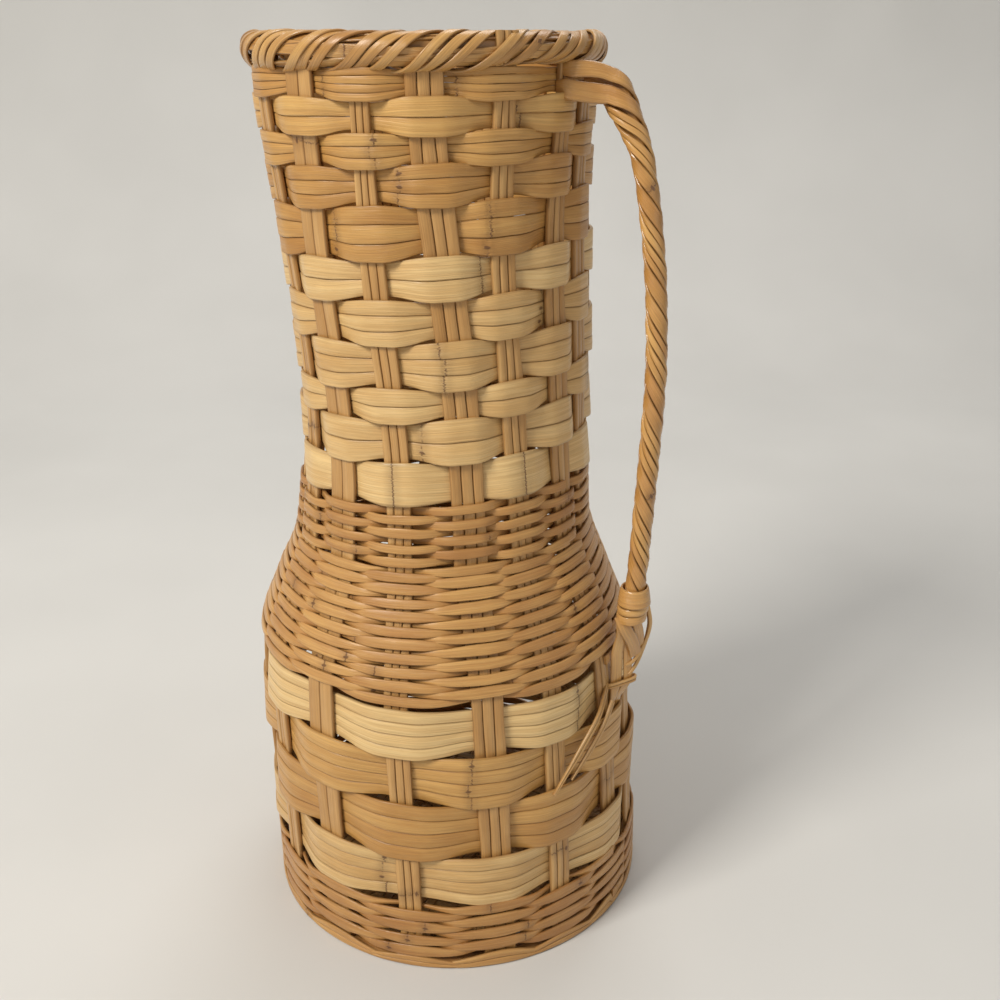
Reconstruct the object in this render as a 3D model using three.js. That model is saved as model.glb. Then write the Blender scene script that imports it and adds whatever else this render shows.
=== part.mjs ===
// Wicker pitcher vase, woven from flat split reed over sixteen upright stakes.
// Millimetres, +Z up. The origin is the middle of the flat underside, and the handle is towards +X.
// Every reed is a solid of its own: stakes, wide bands, fine weavers, rolled rim, roped handle and base.
import * as THREE from "three";

// Reed stock
const STAKE_WIDTH = 14;
const STAKE_THICKNESS = 2.4;
const BAND_THICKNESS = 1.8;
const WEAVER_THICKNESS = 1.6;
const CLEARANCE = 0.3;
const COURSE_GAP = 0.6;

// Base
const FOOT_HEIGHT = 3.6;
const FOOT_WIDTH = 13;
const STAKE_FOOT_LENGTH = 22;

// Courses from the floor up: rows of fine weaving, and the height of each wide band
const BASE_ROWS = 8;
const BASE_ROW_HEIGHT = 3.95;
const BELLY_BAND_HEIGHTS = [28.4, 31.7, 28, 26];
const SHOULDER_ROWS = 20;
const SHOULDER_ROW_HEIGHT = 3.04;
const COLLAR_ROWS = 8;
const COLLAR_ROW_HEIGHT = 3.64;
const NECK_BAND_HEIGHTS = [21.1, 20.6, 15.3, 21.4, 19.5, 18.4, 22.6, 17, 13.4, 14.6, 13];

// A course is higher where it passes over a stake than where it goes under one.
// A weaver's heights are shares of its row's. An edge of a band rises and falls by its wave.
const WEAVER_OVER = 1.35;
const WEAVER_UNDER = 0.45;
const BAND_WAVE = 1.3;

// Wall radii, at the middle of the stakes' thickness
const FOOT_RADIUS = 102.4;
const BELLY_RADIUS = 101.2;
const SHOULDER_RADIUS = 99;
const SHOULDER_MIDDLE_RADIUS = 88;
const COLLAR_RADIUS = 76.2;
const NECK_RADIUS = 71.6;
const UPPER_NECK_RADIUS = 74.2;
const MOUTH_RADIUS = 78.4;

// Stakes come in pairs, so that every course ends where it began. Angles are in degrees from the handle.
// Some stakes, counted from the first, stand out of their even places, or are wider or narrower by a share,
// or stray further round towards the mouth.
const STAKE_PAIRS = 8;
const FIRST_STAKE_ANGLE = -6.5;
const STAKE_OFFSETS = { 0: 1.5, 1: -3, 11: -2, 12: -2.5, 14: 3.5, 15: 1 };
const STAKE_EXTRA_SHARES = { 12: 0.17, 13: -0.11, 14: 0.17, 15: -0.14 };
const MOUTH_STRAYS = { 0: 4, 1: 4, 2: 2, 11: 3, 12: 6, 13: 3, 14: -2.5, 15: 2.5 };

// How far the hand-woven wall leans away from the handle, turns, and rises towards it
const SHOULDER_LEAN = -6.5;
const NECK_LEAN = -3;
const MOUTH_LEAN = -11.3;
const NECK_TWIST = -9;
const BELLY_TILT = -0.025;
const NECK_TILT = 0.055;

// Rolled rim
const RIM_CORE_RADIUS = 3.4;
const RIM_STRAND_WIDTH = 9.4;
const RIM_STRAND_THICKNESS = 2;
const RIM_STRANDS = 3;
const RIM_TURNS = 6;

// Handle rope. It bows out from the line between its two ends: [share of the way up, share of the bow].
const HANDLE_BOW = 29.5;
const HANDLE_SHAPE = [
  [0.973, 0.353],
  [0.944, 0.539],
  [0.915, 0.671],
  [0.88, 0.807],
  [0.826, 0.902],
  [0.728, 0.983],
  [0.632, 1],
  [0.518, 0.946],
  [0.391, 0.8],
  [0.208, 0.563],
  [0.122, 0.437],
  [0.029, 0.271],
];
const HANDLE_STAKE = 0;
const HANDLE_FOOT_ANGLE = -0.8;
const ROPE_CORE_RADIUS = 2.8;
const ROPE_STRAND_WIDTH = 5.8;
const ROPE_STRAND_THICKNESS = 1.5;
const ROPE_STRANDS = 4;
const ROPE_PITCH = 48;
const ROPE_FIRST_TURN = 0.62;
const ROPE_LEAD = 12;
const LOOP_WIDTH = 5.9;

// At both ends of the rope, its strands stand off its core over some length
const TOP_SPREAD = 3;
const TOP_SPREAD_LENGTH = 34;
const FOOT_SPREAD = 2.4;
const FOOT_SPREAD_LENGTH = 20;

// Handle foot: the binding on the rope, the two flat ends below it, and the reed that lashes them
const BINDING_HEIGHT = 19.5;
const BINDING_RISE = 33.5;
const BINDING_WIDTH = 5.9;
const BINDING_THICKNESS = 2;
const END_WIDTH = 5.6;
const END_THICKNESS = 1.4;
const TUCK_DEPTH = 10;
const LASHING_DROP = 13.4;
const LASHING_WIDTH = 3.6;
const LASHING_THICKNESS = 1.2;
const TIE_WIDTH = 2.4;
const TIE_THICKNESS = 1.2;
const TIE_REACH = 4.2;
const TIE_ANGLE = 30;

// Loose ends on the belly, through [angle, share of the drop below its top, share of the rise off its bands]
const TAIL_WIDTH = 4.2;
const TAIL_THICKNESS = 1.4;
const TAIL_DROP = 54.6;
const TAIL_RISE = 2.6;
const LONG_TAIL = [
  [-12.2, 0.38, 0.58],
  [-20.4, 0.63, 0.42],
  [-30.5, 1, 0.3],
];
const SHORT_TAIL = [
  [-6.3, 0.34, 1],
  [-11.2, 0.51, 0.92],
  [-16.7, 0.68, 0.54],
  [-24.5, 0.91, 0.3],
];

const STAKE_COUNT = 2 * STAKE_PAIRS;
const RADIANS = Math.PI / 180;
const UP = new THREE.Vector3(0, 0, 1);

const sum = (values) => values.reduce((total, value) => total + value, 0);

function evenSteps(low, high, steps) {
  return Array.from({ length: steps }, (_, i) => low + ((high - low) * i) / steps);
}

function bandBottoms(bottom, heights) {
  return heights.map((_, i) => bottom + sum(heights.slice(0, i)));
}

function weavingHeight(rows, rowHeight) {
  return (rows - 1 + WEAVER_OVER) * rowHeight + COURSE_GAP;
}

// Heights where one kind of weaving gives way to the next
const FOOT_SEAT = FOOT_HEIGHT + CLEARANCE;
const BASE_BOTTOM = FOOT_SEAT + STAKE_THICKNESS + COURSE_GAP;
const BELLY_BOTTOM = BASE_BOTTOM + weavingHeight(BASE_ROWS, BASE_ROW_HEIGHT);
const BELLY_TOP = BELLY_BOTTOM + sum(BELLY_BAND_HEIGHTS);
const SHOULDER_TOP = BELLY_TOP + weavingHeight(SHOULDER_ROWS, SHOULDER_ROW_HEIGHT);
const COLLAR_TOP = SHOULDER_TOP + weavingHeight(COLLAR_ROWS, COLLAR_ROW_HEIGHT);
const NECK_TOP = COLLAR_TOP + sum(NECK_BAND_HEIGHTS);

// A smooth curve through [height, value] stations that doesn't overshoot between them
function curveThrough(stations) {
  const rises = stations.slice(1).map(([z, v], i) => (v - stations[i][1]) / (z - stations[i][0]));
  const slopes = stations.map((_, i) => {
    const before = rises[i - 1] ?? 0;
    const after = rises[i] ?? 0;
    return before * after > 0 ? (2 * before * after) / (before + after) : 0;
  });
  return (height) => {
    const above = stations.findIndex(([z]) => height < z);
    const i = above < 0 ? stations.length - 2 : Math.max(0, above - 1);
    const [z0, v0] = stations[i];
    const [z1, v1] = stations[i + 1];
    const span = z1 - z0;
    const t = Math.min(1, Math.max(0, (height - z0) / span));
    return (
      v0 * (1 + 2 * t) * (1 - t) ** 2 +
      slopes[i] * span * t * (1 - t) ** 2 +
      v1 * t * t * (3 - 2 * t) +
      slopes[i + 1] * span * t * t * (t - 1)
    );
  };
}

const bellyHeight = BELLY_TOP * 0.75;
const shoulderMiddle = (BELLY_TOP + SHOULDER_TOP) / 2;
const neckHeight = COLLAR_TOP + (NECK_TOP - COLLAR_TOP) * 0.21;
const neckMiddle = COLLAR_TOP + (NECK_TOP - COLLAR_TOP) * 0.4;
const upperNeckHeight = COLLAR_TOP + (NECK_TOP - COLLAR_TOP) * 0.66;

const wallRadius = curveThrough([
  [0, FOOT_RADIUS],
  [bellyHeight, BELLY_RADIUS],
  [BELLY_TOP, SHOULDER_RADIUS],
  [shoulderMiddle, SHOULDER_MIDDLE_RADIUS],
  [SHOULDER_TOP, COLLAR_RADIUS],
  [neckHeight, NECK_RADIUS],
  [upperNeckHeight, UPPER_NECK_RADIUS],
  [NECK_TOP, MOUTH_RADIUS],
]);
const lean = curveThrough([
  [0, 0],
  [shoulderMiddle, SHOULDER_LEAN],
  [neckHeight, NECK_LEAN],
  [NECK_TOP, MOUTH_LEAN],
]);
const twist = curveThrough([
  [BELLY_TOP, 0],
  [upperNeckHeight, NECK_TWIST],
]);
const straying = curveThrough([
  [neckMiddle, 0],
  [NECK_TOP, 1],
]);
const tilt = curveThrough([
  [BASE_BOTTOM, 0],
  [bellyHeight, BELLY_TILT],
  [neckHeight, NECK_TILT],
  [upperNeckHeight, NECK_TILT],
  [NECK_TOP, 0],
]);

// A point by the wall: outward along the wall's normal, and sideways along its tangent
function wallPoint(angle, height, outward = 0, sideways = 0) {
  const slope = (wallRadius(height + 1) - wallRadius(height - 1)) / 2;
  const length = Math.hypot(1, slope);
  const radius = wallRadius(height) + outward / length;
  const x = radius * Math.cos(angle) - sideways * Math.sin(angle);
  const y = radius * Math.sin(angle) + sideways * Math.cos(angle);
  const z = height - (outward * slope) / length;
  return new THREE.Vector3(x + lean(z), y, z + x * tilt(z));
}

function stakeAngle(stake, height) {
  const place = stake % STAKE_COUNT;
  const offset = (STAKE_OFFSETS[place] ?? 0) + (MOUTH_STRAYS[place] ?? 0) * straying(height);
  return (FIRST_STAKE_ANGLE + offset + twist(height) + (place * 360) / STAKE_COUNT) * RADIANS;
}

function stakeWidth(stake) {
  return STAKE_WIDTH * (1 + (STAKE_EXTRA_SHARES[stake % STAKE_COUNT] ?? 0));
}

// A closed solid through sections of matching corners, either capped at its ends or joined into a ring
function solidThrough(sections, ring = false) {
  const sides = sections[0].length;
  const corners = sections.flat();
  const faces = [];
  const steps = ring ? sections.length : sections.length - 1;
  for (let i = 0; i < steps; i++) {
    const next = (i + 1) % sections.length;
    for (let side = 0; side < sides; side++) {
      const a = i * sides + side;
      const b = i * sides + ((side + 1) % sides);
      const c = next * sides + ((side + 1) % sides);
      const d = next * sides + side;
      if (corners[a].distanceTo(corners[c]) < corners[b].distanceTo(corners[d])) {
        faces.push(a, b, c, a, c, d);
      } else {
        faces.push(a, b, d, b, c, d);
      }
    }
  }
  if (!ring) {
    const end = (sections.length - 1) * sides;
    for (let side = 1; side < sides - 1; side++) {
      faces.push(0, side + 1, side, end, end + side, end + side + 1);
    }
  }
  let volume = 0;
  for (let i = 0; i < faces.length; i += 3) {
    const [a, b, c] = [0, 1, 2].map((j) => corners[faces[i + j]]);
    volume += a.dot(b.clone().cross(c));
  }
  const geometry = new THREE.BufferGeometry().setFromPoints(corners);
  geometry.setIndex(volume > 0 ? faces : faces.reverse());
  geometry.computeVertexNormals();
  return geometry;
}

// The section of a flat reed round its centre, with its outer face turned to outwards
function flatSection(centre, outwards, sideways, width, thickness) {
  const corner = (side, out) =>
    centre.clone().addScaledVector(sideways, side).addScaledVector(outwards, out);
  return [
    corner(-width / 2, -thickness / 2),
    corner(-width / 2, thickness / 2),
    corner(width / 2, thickness / 2),
    corner(width / 2, -thickness / 2),
  ];
}

const STAKE_FACE = STAKE_THICKNESS / 2 + CLEARANCE;
const BAND_FACE = STAKE_FACE + BAND_THICKNESS;

// Where a reed crosses a stake, it runs flat past both of the stake's edges, outside it or inside it
function crossingReach(stake) {
  return stakeWidth(stake) / 2 + 2 * CLEARANCE;
}

function crossing(stake, low, high, sideways, outward, thickness) {
  const at = (height, offset) => wallPoint(stakeAngle(stake, height), height, offset, sideways);
  const inner = outward - thickness / 2;
  const outer = outward + thickness / 2;
  return [at(low, inner), at(low, outer), at(high, outer), at(high, inner)];
}

// A wide band: one closed hoop, over every second stake and under the others. Under a stake it draws in
// at both edges, and over one it spreads out at the edges that lie against another band.
// The band that holds the handle's flat ends stands off by their thickness, and runs flat past them.
function bandGeometry({ low, high, spreadBelow, spreadAbove, overOdd, holdsHandle }) {
  const offset = STAKE_FACE + BAND_THICKNESS / 2;
  const sections = [];
  for (let stake = 0; stake < STAKE_COUNT; stake++) {
    const over = (stake % 2 === 1) === overOdd;
    const holds = holdsHandle && stake === HANDLE_STAKE;
    const outward = (over ? offset : -offset) + (holds ? END_THICKNESS + CLEARANCE : 0);
    const bottom = over ? low - spreadBelow : low + BAND_WAVE;
    const top = over ? high + spreadAbove : high - BAND_WAVE;
    const reach = crossingReach(stake);
    const farReach = holds ? handleReach(bottom) : reach;
    sections.push(crossing(stake, bottom, top, -reach, outward, BAND_THICKNESS));
    sections.push(crossing(stake, bottom, top, farReach, outward, BAND_THICKNESS));
  }
  return solidThrough(sections, true);
}

// A fine weaver: one long reed that spirals up through the rows from the stake where it starts.
// It passes over every second stake, and leaves every second row to its partner.
function weaverGeometry(bottom, rows, rowHeight, overOdd, firstStake) {
  const offset = STAKE_FACE + WEAVER_THICKNESS / 2;
  const crossings = (STAKE_COUNT * (rows - 1)) / 2;
  const spacing = (2 * Math.PI * wallRadius(bottom)) / STAKE_COUNT;
  const lowest = bottom + (COURSE_GAP + WEAVER_OVER * rowHeight) / 2;
  const sections = [];
  for (let i = 0; i <= crossings; i++) {
    const stake = firstStake + i;
    const over = (stake % 2 === 1) === overOdd;
    const outward = over ? offset : -offset;
    const half = ((over ? WEAVER_OVER : WEAVER_UNDER) * rowHeight) / 2;
    for (const sideways of [-crossingReach(stake), crossingReach(stake)]) {
      const along = Math.min(crossings, Math.max(0, i + sideways / spacing));
      const middle = lowest + (along / STAKE_COUNT) * 2 * rowHeight;
      sections.push(crossing(stake, middle - half, middle + half, sideways, outward, WEAVER_THICKNESS));
    }
  }
  return solidThrough(sections);
}

// A stake runs straight between these heights
const stakeHeights = [
  ...evenSteps(BASE_BOTTOM, BELLY_BOTTOM, 2),
  ...bandBottoms(BELLY_BOTTOM, BELLY_BAND_HEIGHTS),
  ...evenSteps(BELLY_TOP, SHOULDER_TOP, 10),
  ...evenSteps(SHOULDER_TOP, COLLAR_TOP, 3),
  ...bandBottoms(COLLAR_TOP, NECK_BAND_HEIGHTS),
  NECK_TOP,
];

// A stake stands in the wall from the base to the rim, and its lower end is folded in over the foot border
function stakeGeometry(stake) {
  const half = STAKE_THICKNESS / 2;
  const seat = FOOT_SEAT + half;
  const angle = stakeAngle(stake, 0);
  const folded = (radius, height) => (side) => {
    const x = radius * Math.cos(angle) - side * Math.sin(angle);
    const y = radius * Math.sin(angle) + side * Math.cos(angle);
    return new THREE.Vector3(x, y, height);
  };
  const standing = (height, outward) => (side) =>
    wallPoint(stakeAngle(stake, height), height, outward, side);
  const edge = stakeWidth(stake) / 2;
  const section = (inner, outer) => [inner(-edge), outer(-edge), outer(edge), inner(edge)];
  const toe = FOOT_RADIUS - STAKE_FOOT_LENGTH;
  return solidThrough([
    section(folded(toe, seat + half), folded(toe, seat - half)),
    section(folded(FOOT_RADIUS - half, seat + half), folded(FOOT_RADIUS + half, seat - half)),
    ...stakeHeights.map((height) => section(standing(height, -half), standing(height, half))),
  ]);
}

// Base and rim pieces turned about the Z axis, from [radius, height] outlines
function turned(outline) {
  const points = [...outline, outline[0]].map(([r, z]) => new THREE.Vector2(r, z));
  return new THREE.LatheGeometry(points, 48).rotateX(Math.PI / 2);
}

const footOuter = FOOT_RADIUS + BAND_FACE;
const footInner = footOuter - FOOT_WIDTH;

function footBorderGeometry() {
  return turned([
    [footInner, 0],
    [footOuter, 0],
    [footOuter, FOOT_HEIGHT],
    [footInner, FOOT_HEIGHT],
  ]);
}

function baseMatGeometry() {
  const radius = footInner - CLEARANCE;
  return new THREE.CylinderGeometry(radius, radius, FOOT_HEIGHT, 48)
    .rotateX(Math.PI / 2)
    .translate(0, 0, FOOT_HEIGHT / 2);
}

// The rim: a hoop on the stakes' ends, with flat strands rolled round it
const RIM_INNER = RIM_CORE_RADIUS + CLEARANCE;
const RIM_OUTER = Math.hypot(RIM_INNER + RIM_STRAND_THICKNESS, RIM_STRAND_WIDTH / 2);
const RIM_HEIGHT = NECK_TOP + CLEARANCE + RIM_OUTER;

function rimCoreGeometry() {
  const sides = 6;
  const outline = Array.from({ length: sides }, (_, i) => {
    const angle = (i / sides) * 2 * Math.PI;
    return [
      MOUTH_RADIUS + RIM_CORE_RADIUS * Math.cos(angle),
      RIM_HEIGHT + RIM_CORE_RADIUS * Math.sin(angle),
    ];
  });
  return turned(outline).translate(MOUTH_LEAN, 0, 0);
}

// A section of a strand that lies on a core, turned about the core's centre by a number of turns
function strandSection({ centre, across, up }, turn, inner, width, thickness) {
  const angle = turn * 2 * Math.PI;
  const outwards = across.clone().multiplyScalar(Math.cos(angle)).addScaledVector(up, Math.sin(angle));
  const sideways = across.clone().multiplyScalar(-Math.sin(angle)).addScaledVector(up, Math.cos(angle));
  const middle = centre.clone().addScaledVector(outwards, inner + thickness / 2);
  return flatSection(middle, outwards, sideways, width, thickness);
}

function rimStrandGeometry(firstTurn) {
  const steps = 8 * RIM_TURNS;
  const sections = [];
  for (let i = 0; i < steps; i++) {
    const angle = (i / steps) * 2 * Math.PI;
    const across = new THREE.Vector3(Math.cos(angle), Math.sin(angle), 0);
    const centre = across.clone().multiplyScalar(MOUTH_RADIUS).setZ(RIM_HEIGHT);
    centre.x += MOUTH_LEAN;
    const turn = firstTurn + (i / steps) * RIM_TURNS;
    const frame = { centre, across, up: UP };
    sections.push(strandSection(frame, turn, RIM_INNER, RIM_STRAND_WIDTH, RIM_STRAND_THICKNESS));
  }
  return solidThrough(sections, true);
}

// The handle's foot: its flat ends lie on a stake, and reach past one edge of it
const TUCK_TOP = BELLY_TOP - BELLY_BAND_HEIGHTS.at(-1) + BAND_WAVE;
const footAngle = HANDLE_FOOT_ANGLE * RADIANS;

function footPoint(height, outward, sideways) {
  const above = stakeHeights.findIndex((z) => z > height);
  const [low, high] = stakeHeights.slice(above - 1, above + 1);
  const [start, end] = [low, high].map((z) => {
    const angle = stakeAngle(HANDLE_STAKE, z);
    return wallPoint(angle, z, outward, wallRadius(z) * (footAngle - angle) + sideways);
  });
  return start.lerp(end, (height - low) / (high - low));
}

function handleReach(height) {
  const pastStake = wallRadius(height) * (footAngle - stakeAngle(HANDLE_STAKE, height));
  return Math.max(crossingReach(HANDLE_STAKE), pastStake + END_WIDTH + 3 * CLEARANCE);
}

// The rope's path: out from the wall under the rim, down beside the neck, and over the shoulder
const ROPE_INNER = ROPE_CORE_RADIUS + 2 * CLEARANCE;
const ROPE_OUTER = Math.hypot(ROPE_INNER + ROPE_STRAND_THICKNESS, ROPE_STRAND_WIDTH / 2);
const upperLoopHeight = NECK_TOP - 2 * CLEARANCE - LOOP_WIDTH / 2;
const lowerLoopHeight = upperLoopHeight - LOOP_WIDTH - CLEARANCE;

function ropeCurve() {
  const rootHeight = (upperLoopHeight + lowerLoopHeight) / 2;
  const root = wallPoint(0, rootHeight, BAND_FACE + 4 * CLEARANCE);
  const foot = wallPoint(footAngle, BELLY_TOP, BAND_FACE);
  const points = HANDLE_SHAPE.map(([share, bow]) => {
    const height = BELLY_TOP + (NECK_TOP - BELLY_TOP) * share;
    const x = foot.x + (root.x - foot.x) * share + HANDLE_BOW * bow;
    return new THREE.Vector3(x, foot.y * (1 - share), height);
  });
  return new THREE.CatmullRomCurve3([root, ...points], false, "centripetal");
}

const ropePath = ropeCurve();
const ropeLength = ropePath.getLength();
const ropeFoot = ropePath.getPointAt(1);

function ropeFrame(t) {
  const centre = ropePath.getPointAt(t);
  const along = ropePath.getTangentAt(t);
  const across = new THREE.Vector3(0, 1, 0).addScaledVector(along, -along.y).normalize();
  return { centre, across, up: along.clone().cross(across) };
}

// How far the strands stand off the core at a share of the rope's length
function spreadAt(t) {
  const top = Math.max(0, 1 - (t * ropeLength) / TOP_SPREAD_LENGTH);
  const foot = Math.max(0, 1 - ((1 - t) * ropeLength) / FOOT_SPREAD_LENGTH);
  return TOP_SPREAD * top ** 2 + FOOT_SPREAD * foot ** 2;
}

function ropeCoreGeometry() {
  const steps = 36;
  const sides = 6;
  const sections = [];
  for (let i = 0; i <= steps; i++) {
    const { centre, across, up } = ropeFrame(i / steps);
    const corners = Array.from({ length: sides }, (_, side) => {
      const angle = (side / sides) * 2 * Math.PI;
      return centre
        .clone()
        .addScaledVector(across, ROPE_CORE_RADIUS * Math.cos(angle))
        .addScaledVector(up, ROPE_CORE_RADIUS * Math.sin(angle));
    });
    sections.push(corners);
  }
  return solidThrough(sections);
}

// A strand of the rope from a share of its length to the end, after the sections that lead up to it
function ropeStrandGeometry(firstTurn, from, before) {
  const turns = ropeLength / ROPE_PITCH;
  const steps = Math.round(turns * (1 - from) * 8);
  const sections = [...before];
  for (let i = 0; i <= steps; i++) {
    const t = 1 - (1 - from) * (1 - i / steps);
    const turn = firstTurn - turns * t;
    const inner = ROPE_INNER + spreadAt(t);
    sections.push(strandSection(ropeFrame(t), turn, inner, ROPE_STRAND_WIDTH, ROPE_STRAND_THICKNESS));
  }
  return solidThrough(sections);
}

// Two strands begin as loops: hooked round the edge of a stake, laid over it, and led off to the rope's side
function loopSections(height, lead) {
  const thickness = ROPE_STRAND_THICKNESS;
  const angle = stakeAngle(HANDLE_STAKE, height);
  const over = STAKE_FACE + thickness / 2;
  const edge = stakeWidth(HANDLE_STAKE) / 2;
  const past = edge + CLEARANCE + thickness / 2;
  const outward = new THREE.Vector3(Math.cos(angle), Math.sin(angle), 0);
  const left = new THREE.Vector3(Math.sin(angle), -Math.cos(angle), 0);
  const corner = outward.clone().add(left).normalize();
  const section = (out, side, normal) =>
    flatSection(wallPoint(angle, height, out, side), normal, UP, LOOP_WIDTH, thickness);
  const leaving = wallPoint(angle, height, over, edge);
  const join = ropeFrame(lead / 2).centre.setZ(height);
  join.y -= ROPE_OUTER + spreadAt(lead);
  const reach = leaving.distanceTo(join) / 2.4;
  const bend = new THREE.CubicBezierCurve3(
    leaving,
    leaving.clone().addScaledVector(left, -reach),
    join.clone().setX(join.x - reach),
    join,
  );
  const led = [0, 0.25, 0.5, 0.75].map((t) => {
    const along = bend.getTangent(t);
    const normal = new THREE.Vector3(along.y, -along.x, 0).normalize();
    const width = LOOP_WIDTH + (ROPE_STRAND_WIDTH - LOOP_WIDTH) * t;
    return flatSection(bend.getPoint(t), normal, UP, width, thickness);
  });
  return [
    section(0, -past, left),
    section(STAKE_FACE / 2, -past, left),
    section(over - thickness / 4, -past + thickness / 4, corner),
    section(over, -past + thickness, outward),
    ...led,
  ];
}

// The binding is one reed coiled round the rope near its end
const bindingHeight = BELLY_TOP + BINDING_RISE;
const bindingSides = 14;
const bindingInner = (ROPE_OUTER + 2 * CLEARANCE) / Math.cos(Math.PI / bindingSides);
const bindingRadius = bindingInner + BINDING_THICKNESS / 2;

const lowerRope = evenSteps(0.5, 1, 400).map((t) => ropePath.getPointAt(t));

function ropeAt(height) {
  return (lowerRope.find(({ z }) => z <= height) ?? ropeFoot).clone();
}

function bindingGeometry() {
  const pitch = BINDING_WIDTH + CLEARANCE;
  const turns = (BINDING_HEIGHT - BINDING_WIDTH) / pitch;
  const steps = Math.round(turns * bindingSides);
  const top = bindingHeight + (BINDING_HEIGHT - BINDING_WIDTH) / 2;
  const sections = [];
  for (let i = 0; i <= steps; i++) {
    const angle = (i / bindingSides) * 2 * Math.PI;
    const outwards = new THREE.Vector3(Math.cos(angle), Math.sin(angle), 0);
    const height = top - (pitch * i) / bindingSides;
    const middle = ropeAt(height).setZ(height).addScaledVector(outwards, bindingRadius);
    sections.push(flatSection(middle, outwards, UP, BINDING_WIDTH, BINDING_THICKNESS));
  }
  return solidThrough(sections);
}

// A flat reed through given centres. Its outer face looks away from the vase's axis.
function laidGeometry(route, width, thickness, steps) {
  const curve = new THREE.CatmullRomCurve3(route, false, "centripetal");
  const sections = [];
  for (let i = 0; i <= steps; i++) {
    const centre = curve.getPointAt(i / steps);
    const along = curve.getTangentAt(i / steps);
    const away = new THREE.Vector3(centre.x - lean(centre.z), centre.y, 0).normalize();
    const side = along.clone().cross(away).normalize();
    sections.push(flatSection(centre, side.clone().cross(along), side, width, thickness));
  }
  return solidThrough(sections);
}

// The lashing is a closed loop of reed, drawn tight round the two flat ends and clear of the stake
const lashingHeight = BELLY_TOP - LASHING_DROP;
const lashingHalfWidth = END_WIDTH + 1.5 * CLEARANCE;
const lashingHalfDepth = END_THICKNESS / 2 + 1.5 * CLEARANCE;
const lashedOffset = STAKE_FACE + LASHING_THICKNESS + lashingHalfDepth;

function lashingGeometry() {
  const corners = [
    [-1, -1],
    [1, -1],
    [1, 1],
    [-1, 1],
  ];
  const low = lashingHeight - LASHING_WIDTH / 2;
  const high = lashingHeight + LASHING_WIDTH / 2;
  const sections = corners.map(([across, out]) => {
    const at = (height, thickness) => {
      const outward = lashedOffset + out * (lashingHalfDepth + thickness);
      return footPoint(height, outward, across * (lashingHalfWidth + thickness));
    };
    return [at(low, 0), at(low, LASHING_THICKNESS), at(high, LASHING_THICKNESS), at(high, 0)];
  });
  return solidThrough(sections, true);
}

// From under the rope the two flat ends run down to the lashing, and tuck in behind a belly band
const endHalf = (END_WIDTH + CLEARANCE) / 2;
const tuckedOffset = STAKE_FACE + END_THICKNESS / 2;
const stakeDirection = stakeAngle(HANDLE_STAKE, TUCK_TOP);
const endFacing = new THREE.Vector3(Math.cos(stakeDirection), Math.sin(stakeDirection), 0);

function endRoute(side) {
  const start = ropeFoot.clone().setZ(ropeFoot.z - 2 * CLEARANCE);
  start.addScaledVector(UP.clone().cross(endFacing), side * endHalf);
  return [
    start,
    footPoint(lashingHeight + LASHING_WIDTH, lashedOffset, side * endHalf),
    footPoint(lashingHeight - LASHING_WIDTH, lashedOffset, side * endHalf),
    footPoint(TUCK_TOP, tuckedOffset, side * endHalf),
    footPoint(TUCK_TOP - TUCK_DEPTH, tuckedOffset, side * endHalf),
  ];
}

// A flat end goes straight from each point of its route to the next, as the stake under it does
function endGeometry(side) {
  const route = endRoute(side);
  const sections = route.map((centre, i) => {
    const next = route[Math.min(i + 1, route.length - 1)];
    const along = next.clone().sub(route[Math.max(i - 1, 0)]).normalize();
    const across = along.clone().cross(endFacing).normalize();
    return flatSection(centre, across.clone().cross(along), across, END_WIDTH, END_THICKNESS);
  });
  return solidThrough(sections);
}

// The binding reed's spare length stands out in a thin loop, and comes back to the lashed ends
function tieRoute() {
  const top = bindingHeight - BINDING_HEIGHT / 2 - CLEARANCE;
  const end = lashingHeight + LASHING_WIDTH / 2 + CLEARANCE + TIE_WIDTH / 2;
  const direction = new THREE.Vector3(Math.cos(TIE_ANGLE * RADIANS), Math.sin(TIE_ANGLE * RADIANS), 0);
  const at = (share, out) => {
    const height = top + (end - top) * share;
    return ropeAt(height).setZ(height).addScaledVector(direction, bindingRadius + out);
  };
  const onEnds = lashedOffset + (END_THICKNESS + TIE_THICKNESS) / 2 + CLEARANCE;
  return [at(0, 0), at(0.3, TIE_REACH), at(0.65, TIE_REACH * 0.7), footPoint(end, onEnds, endHalf)];
}

// The lashing's two loose ends lie on the belly, down and away from the handle
function tailRoute(stations) {
  const face = BAND_FACE + TAIL_THICKNESS / 2;
  return stations.map(([angle, drop, rise]) =>
    wallPoint(angle * RADIANS, BELLY_TOP - TAIL_DROP * drop, face + TAIL_RISE * rise),
  );
}

function longTailRoute() {
  const beside = lashingHalfWidth + LASHING_THICKNESS + CLEARANCE + TAIL_WIDTH / 2;
  return [footPoint(lashingHeight, lashedOffset, -beside), ...tailRoute(LONG_TAIL)];
}

// Assembly
const colours = { stake: 0xc08a45, band: 0xd9ad66, weaver: 0xb98243, rope: 0xbd8038, tie: 0xc8934c };
const reeds = {};
for (const [kind, color] of Object.entries(colours)) {
  reeds[kind] = new THREE.MeshStandardMaterial({ color, roughness: 0.5, metalness: 0 });
}

const vase = new THREE.Group();

function add(name, geometry, material) {
  const mesh = new THREE.Mesh(geometry, material);
  mesh.name = name;
  vase.add(mesh);
}

function numbered(name, index, digits) {
  return `${name}_${String(index + 1).padStart(digits, "0")}`;
}

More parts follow.
